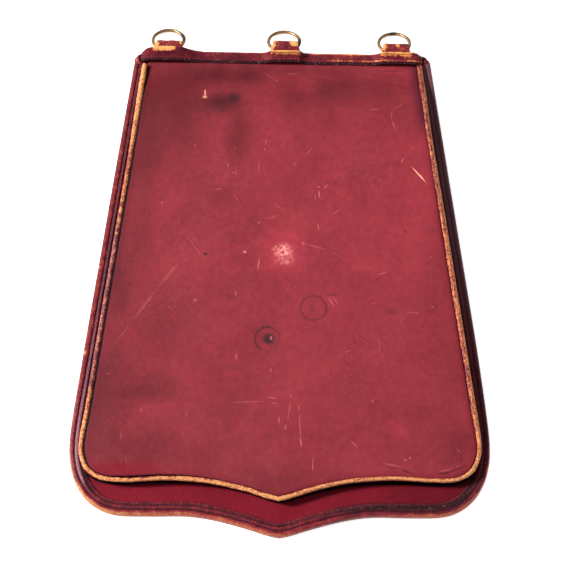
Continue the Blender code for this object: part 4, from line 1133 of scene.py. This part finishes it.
def makeBand(finishes):
    band = {
        "left": -104.1, "right": 103.2, "thick": 1.2, "columns": 336, "rows": 56, "front": 173.5,
        "oldFront": 172.9, "crestY": 182.4, "slack": 0.9,
        # wear of the far crest by x
        "crest": ((-101.0, 0.2), (-94.0, 0.35), (-62.0, 0.42), (-45.0, 0.38), (-40.0, 0.62), (-12.0, 0.6),
                  (-8.5, 0.3), (14.0, 0.3), (17.0, 0.5), (24.0, 0.85), (66.0, 0.82), (72.0, 0.4),
                  (96.0, 0.6), (101.0, 0.55)),
        # bare strips below the loops: x from, x to, y from, y to, amount
        "strips": ((-95.6, -79.0, 179.9, 184.0, 0.95), (-8.6, 13.8, 179.2, 182.0, 0.84),
                   (72.6, 95.5, 179.0, 182.0, 0.8)),
    }
    low = curveThrough(bandLow, 4)
    high = curveThrough(bandHigh, 4)

    def surface(x, along):
        rise, back = bandAt(x, 1), bandAt(x, 2)
        y, z = lineAt(low, along).lerp(lineAt(high, along), rise)
        if along > 0.3:
            z -= band["slack"] * (1.0 - rise) * easeBetween(z, 3.0, 12.0)
            y -= back * easeBetween(y, 180.0, 182.0) * easeBetween(along, 0.3, 0.5)
        if along > 0.6 and y < band["crestY"]:
            share = (band["crestY"] - y) / (band["crestY"] - band["oldFront"])
            y = band["crestY"] - share * (band["crestY"] - band["front"])
        return y, z

    def place(across, along):
        x = band["left"] + (band["right"] - band["left"]) * across
        y, z = surface(x, along)
        front = y - band["front"]
        top = easeBetween(along, 0.55, 0.7)
        wear, wax, fold = 0.16, 0.0, 0.0
        narrow = 1.0 - 0.25 * bandAt(x, 1)
        if along > 0.6:
            fold = 0.3 * math.exp(-((front - 3.1 * narrow) / 0.45) ** 2)
            fold -= 0.4 * math.exp(-((front - 4.1 * narrow) / 0.35) ** 2)
        if along > 0.5:
            ragged = wander(34, x, 0.0, 2.4, 0.8) + wander(35, x, 0.0, 0.9, 0.5)
            plain = 0.22 + 0.08 * easeBetween(x, 0.0, 60.0)
            wear = plain + wander(37, x, y * 3.0, 14.0, 0.16)
            crest = readTable(band["crest"], x)
            onCrest = easeBetween(y + ragged * 0.35, 181.2, 182.4) * easeBetween(along, 0.55, 0.6)
            wear += (crest - plain) * onCrest
            for start, end, near, far, amount in band["strips"]:
                inside = easeBetween(x + ragged * 0.6, start - 0.6, start + 0.6)
                inside *= 1.0 - easeBetween(x + ragged * 0.8, end - 1.2, end + 1.2)
                inside *= easeBetween(y + ragged * 0.9, near - 0.6, near + 0.6)
                inside *= 1.0 - easeBetween(y + ragged * 0.2, far - 0.3, far + 0.3)
                if start < -50.0:
                    inside *= 1.0 - easeBetween(x - (y - 180.0) * 2.6, -84.0, -78.0)
                wear += (amount - wear) * inside
            wax = 0.9 * (1.0 - easeBetween(front, 2.2 * narrow, 2.8 * narrow))
            wax = max(wax, 0.6 * math.exp(-((front - 4.1 * narrow) / 0.3) ** 2))
            dotted = 0.36 + wander(38, x, 0.0, 1.6, 0.5)
            wear += dotted * math.exp(-((front - 3.2 * narrow) / 0.4) ** 2) * easeBetween(x, 20.0, 55.0)
        z += fold + top * (wander(31, x, y, 11.0, 0.16) + wander(32, x, y, 3.2, 0.08))
        y += wander(33, x, 0.0, 18.0, 0.3) * (1.0 if along > 0.3 else 0.0)
        return (x, y + topSlant(x), z), (wear, wax, 0.0, x, along * 40.0)

    form = warpedSheet(band["columns"], band["rows"], place, edgeFacts, turned=True)
    openSlots(form)
    addPiece("top_band_leather", form, finishes["band"], ["top_band"],
             thick=band["thick"])

    rows = []
    steps, ends, back = 400, 1.5, 1.1
    for step in range(steps + 1):
        x = band["left"] + ends + (band["right"] - band["left"] - 2.0 * ends) * step / steps
        y, z = surface(x, 1.0)
        rows.append((Vector((x, y + back + topSlant(x))), z + band["thick"] / 2.0 + 0.25, x - band["left"]))
    stitch = {"pitch": 2.7, "long": 2.2, "wide": 0.8, "high": 0.55, "slant": 14.0, "seed": 12}
    stitchRow("top_band_stitches", finishes, rows, stitch, "bandThread")


def openSlots(form):
    # the band has a slot round each loop, where the loop comes through its far wall
    slot = {"play": 0.35, "wall": 183.2, "from": 183.3, "to": 186.9, "level": 9.1, "reach": 5.25}
    gone = []
    for face in form.faces:
        centre = face.calc_center_median()
        for name, middle, width, forward in loops:
            y = centre.y - topSlant(middle)
            beside = abs(centre.x - middle) > width / 2.0 + slot["play"]
            if beside or y < slot["wall"] - bandAt(middle, 2):
                continue
            nearest = min(max(y, slot["from"] + forward), slot["to"] + forward)
            if math.hypot(y - nearest, centre.z - slot["level"]) < slot["reach"]:
                gone.append(face)
                break
    bmesh.ops.delete(form, geom=gone, context="FACES")


def makeLoops(finishes):
    loop = {
        "leather": 1.2, "root": 177.0, "eyeY": 185.1, "eyeZ": 9.1, "halfHigh": 3.2, "halfLong": 5.0,
        "shorter": {"left": 1.0, "middle": 0.0, "right": 0.9},
        # worn places: share across from -1 to 1 (low, high), y (low, high), amount
        "left": ((-1.4, -0.72, 180.0, 187.0, 0.9), (-1.4, -0.86, 186.0, 193.0, 0.7),
                 (0.8, 1.3, 185.0, 193.0, 0.8), (0.35, 0.9, 189.2, 193.0, 0.75)),
        "middle": ((-1.3, -0.78, 180.0, 193.0, 0.9), (0.42, 1.3, 185.3, 193.0, 0.95),
                   (-1.3, 1.3, 189.6, 193.0, 0.82)),
        "right": ((-1.3, -0.74, 183.0, 193.0, 0.82), (0.02, 0.28, 185.6, 193.0, 0.7),
                  (0.75, 0.95, 184.0, 190.0, 0.4)),
        # (y, z) of the strip from inside the band to the eye, above and below
        "above": ((178.4, 9.0), (179.6, 9.9), (180.6, 11.3), (181.8, 12.4)),
        "below": ((181.6, 5.9), (180.2, 7.0), (178.8, 7.7)), "rootHigh": 8.9, "rootLow": 7.7,
        # how much wider the strip grows toward the band, and up to which y
        "flare": {"left": (1.8, 189.0), "middle": (1.3, 186.5), "right": (1.3, 186.5)},
    }
    middleHigh = loop["halfHigh"] + loop["leather"] / 2.0
    straight = loop["halfLong"] - loop["halfHigh"]

    for name, x, width, forward in loops:
        near = loop["eyeY"] + forward - straight
        far = loop["eyeY"] + forward + straight - loop["shorter"][name]
        upper, lower = loop["eyeZ"] + middleHigh, loop["eyeZ"] - middleHigh
        line = [(loop["root"], loop["rootHigh"]), *loop["above"], (near, upper), ((near + far) / 2.0, upper)]
        for step in range(13):
            angle = math.radians(90.0 - 15.0 * step)
            line.append((far + middleHigh * math.cos(angle), loop["eyeZ"] + middleHigh * math.sin(angle)))
        line += [((near + far) / 2.0, lower), (near, lower), *loop["below"], (loop["root"], loop["rootLow"])]
        path = [point for point, s in evenly(curveThrough(line, 3), 0.45)]
        flare, flareEnd = loop["flare"][name]

        def place(across, along, x=x, width=width, path=path, flare=flare, flareEnd=flareEnd, name=name):
            point = path[round(along * (len(path) - 1))]
            share = 2.0 * across - 1.0
            y, z = point
            half = width / 2.0 + (0.2 if name == "middle" else 0.0)
            spread = 1.0 if share < 0.0 or name != "left" else 0.35
            half += flare * (1.0 - easeBetween(y, 182.5, flareEnd)) * spread
            top = easeBetween(z, 10.0, 11.5)
            bow = wander(41, x + share * 9.0, y, 6.0, 0.3) * (1.0 - 0.6 * easeBetween(y, 186.0, 188.0))
            if name == "middle":
                bow += 0.6 * math.exp(-(share / 0.5) ** 2 - ((y - 186.6) / 2.2) ** 2)
            z += max(bow, -0.05) * top - 0.3 * top * share ** 6 * easeBetween(y, 183.0, 186.0)
            y += 0.4 * wander(42, share * 9.0, x, 4.0) * easeBetween(y, 187.0, 190.0)
            ragged = wander(43, share * 9.0, y + x, 1.6, 0.9)
            wear = 0.34 + 0.12 * easeBetween(abs(share), 0.85, 1.0)
            for low, high, start, end, amount in loop[name]:
                inside = easeBetween(share + ragged * 0.12, low - 0.06, low + 0.06)
                inside *= 1.0 - easeBetween(share + ragged * 0.12, high - 0.06, high + 0.06)
                inside *= easeBetween(y + ragged * 0.8, start - 0.4, start + 0.4)
                inside *= 1.0 - easeBetween(y, end - 0.4, end + 0.4)
                wear = max(wear, 0.22 + (amount - 0.14) * inside)
            if z < 9.0:
                wear *= 0.6
            # painted shade where the loop goes under the band, mixed in as the dark seam colour
            wax = (0.5 if name == "left" else 0.2) * (1.0 - easeBetween(y, 182.9, 183.6)) * top
            return (x + share * half, y + topSlant(x), z), (wear, wax, 0.0, share * half, along * 30.0)

        form = warpedSheet(30, len(path) - 1, place, edgeFacts)
        addPiece("loop_leather_" + name, form, finishes["band"], ["ring_loop_" + name],
                 thick=loop["leather"], rounded=0.3)


def makeRings(finishes):
    ring = {"half": 11.55, "wire": 1.35, "hingeY": 184.6, "hingeZ": 9.1, "toFarEnd": 20.42,
            "aside": -0.9, "steps": 120, "around": 20,
            # where each ring's painted shade lies, on its shadow side, and how far it reaches, in degrees
            "dark": {"left": (12.0, 34.0), "middle": (-12.0, 34.0), "right": (95.0, 16.0)}}
    tilt = math.asin((ring["hingeZ"] - ring["wire"]) / ring["toFarEnd"])
    reach = ring["toFarEnd"] - ring["half"]
    for name, x, width, forward in loops:
        form = bmesh.new()
        darkAt, darkReach = ring["dark"][name]
        stand = Matrix.Translation((ring["half"], 0.0, 0.0)) @ Matrix.Rotation(math.radians(90.0), 4, "X")
        bmesh.ops.create_circle(form, cap_ends=False, segments=ring["around"], radius=ring["wire"],
                                matrix=stand)
        bmesh.ops.spin(form, geom=form.verts[:] + form.edges[:], cent=(0.0, 0.0, 0.0), axis=(0.0, 0.0, 1.0),
                       angle=2.0 * math.pi, steps=ring["steps"], use_merge=True)
        bmesh.ops.recalc_face_normals(form, faces=form.faces)
        tarnish = form.verts.layers.float.new("tarnish")
        for vert in form.verts:
            angle = math.atan2(vert.co.y, vert.co.x)
            away = abs((math.degrees(angle) - darkAt + 180.0) % 360.0 - 180.0)
            vert[tarnish] = 1.0 - easeBetween(away, 8.0, darkReach)
            core = Vector((math.cos(angle), math.sin(angle), 0.0)) * ring["half"]
            worn = 1.0 + wander(51, angle * 9.0 + x, vert.co.z * 2.0, 2.0, 0.035)
            vert.co = core + (vert.co - core) * worn
        centre = Vector((x + ring["aside"], ring["hingeY"] + forward + topSlant(x), ring["hingeZ"]))
        centre += Vector((0.0, math.cos(tilt), -math.sin(tilt))) * reach
        bmesh.ops.transform(form, matrix=Matrix.Translation(centre) @ Matrix.Rotation(-tilt, 4, "X"),
                            verts=form.verts)
        addPiece("ring_wire_" + name, form, finishes["brass"], ["ring_" + name],
                 body="ring_" + name)


def makeCaps(finishes):
    cap = {"x": 106.6, "wide": 6.6, "high": 7.6, "squareness": 4.0, "foldStart": 0.06, "foldLean": 0.49,
           # side, low y, top y, how far the cap is moved in, wear, wear of its outer edge
           "left": (-1.0, 172.0, 180.9, 0.0, 0.42, 0.0), "right": (1.0, 174.4, 182.4, 0.7, 0.34, 0.4)}
    for name in ("left", "right"):
        side, low, top, inward, worn, wornOut = cap[name]
        x = side * cap["x"]
        low, top = low + topSlant(x), top + topSlant(x)
        form = bmesh.new()
        layers = [form.verts.layers.float.new(fact) for fact in edgeFacts]
        bmesh.ops.create_cube(form, size=1.0)
        bmesh.ops.subdivide_edges(form, edges=form.edges[:], cuts=15, use_grid_fill=True)
        for vert in form.verts:
            power = cap["squareness"]
            p = vert.co / (2.0 * sum(abs(part) ** power for part in vert.co) ** (1.0 / power))
            outer = p.x * side   # 0.5 on the bag's outer side
            sunk = 1.0 - 0.22 * easeBetween(outer, 0.0, 0.5) - 0.15 * easeBetween(-p.y, 0.1, 0.5)
            line = outer - cap["foldStart"] + (0.5 - p.y) * cap["foldLean"]   # the dark fold runs aslant
            fold = math.exp(-(line / 0.11) ** 2) * (1.0 if p.z > 0.1 else 0.0)
            z = (p.z + 0.5) * cap["high"] * (sunk if p.z > 0.0 else 1.0) - fold * 1.2
            y = (low + top) / 2.0 + p.y * (top - low)
            y -= 2.2 * easeBetween(outer, 0.0, 0.5) * easeBetween(p.y, 0.0, 0.5)
            across = x + p.x * cap["wide"] - side * 0.9 * easeBetween(p.y, -0.1, 0.5)
            across -= side * inward
            z += wander(61, across, y, 3.0, 0.25) if p.z > 0.2 else 0.0
            vert.co = (across, y, max(z, 0.0))
            wear = 0.2 + (worn - 0.2) * easeBetween(line, 0.08, 0.3)
            wear += wornOut * easeBetween(outer, 0.1, 0.4) * (1.0 - easeBetween(p.y, -0.45, -0.2))
            vert[layers[0]] = wear
            vert[layers[1]] = min(fold + 0.75 * (1.0 - easeBetween(line, -0.12, 0.02)), 1.0)
            vert[layers[3]], vert[layers[4]] = across, y
        bmesh.ops.recalc_face_normals(form, faces=form.faces)
        addPiece("corner_fold_" + name, form, finishes["band"], ["corner_cap_" + name])


def main():
    makeView()
    makeStudio()
    finishes = {
        "panel": panelLeather("crimson_panel_leather", True),
        "flap": panelLeather("crimson_flap_leather", False),
        "border": boundEdge("bordeaux_border_leather", bordeaux),
        "piping": boundEdge("tan_piping_leather", tanRoll),
        "band": boundEdge("bordeaux_band_leather", bandLeather),
        # the side wall's leather is darkened to stand for the shade it lies in under the piping: painted
        # shade
        "dark": plainLeather("shaded_side_leather", (0.05, 0.008, 0.013), (0.11, 0.014, 0.022)),
        "thread": threadFinish("black_waxed_thread", (0.012, 0.002, 0.003), (0.12, 0.02, 0.025)),
        "bandThread": threadFinish("brown_waxed_thread", (0.035, 0.009, 0.012), (0.34, 0.17, 0.13)),
        "brass": brassFinish(),
    }
    print("finishes made:", len(finishes))
    makeFlap(finishes)
    makePocket(finishes)
    makeBand(finishes)
    makeLoops(finishes)
    makeRings(finishes)
    makeCaps(finishes)


main()
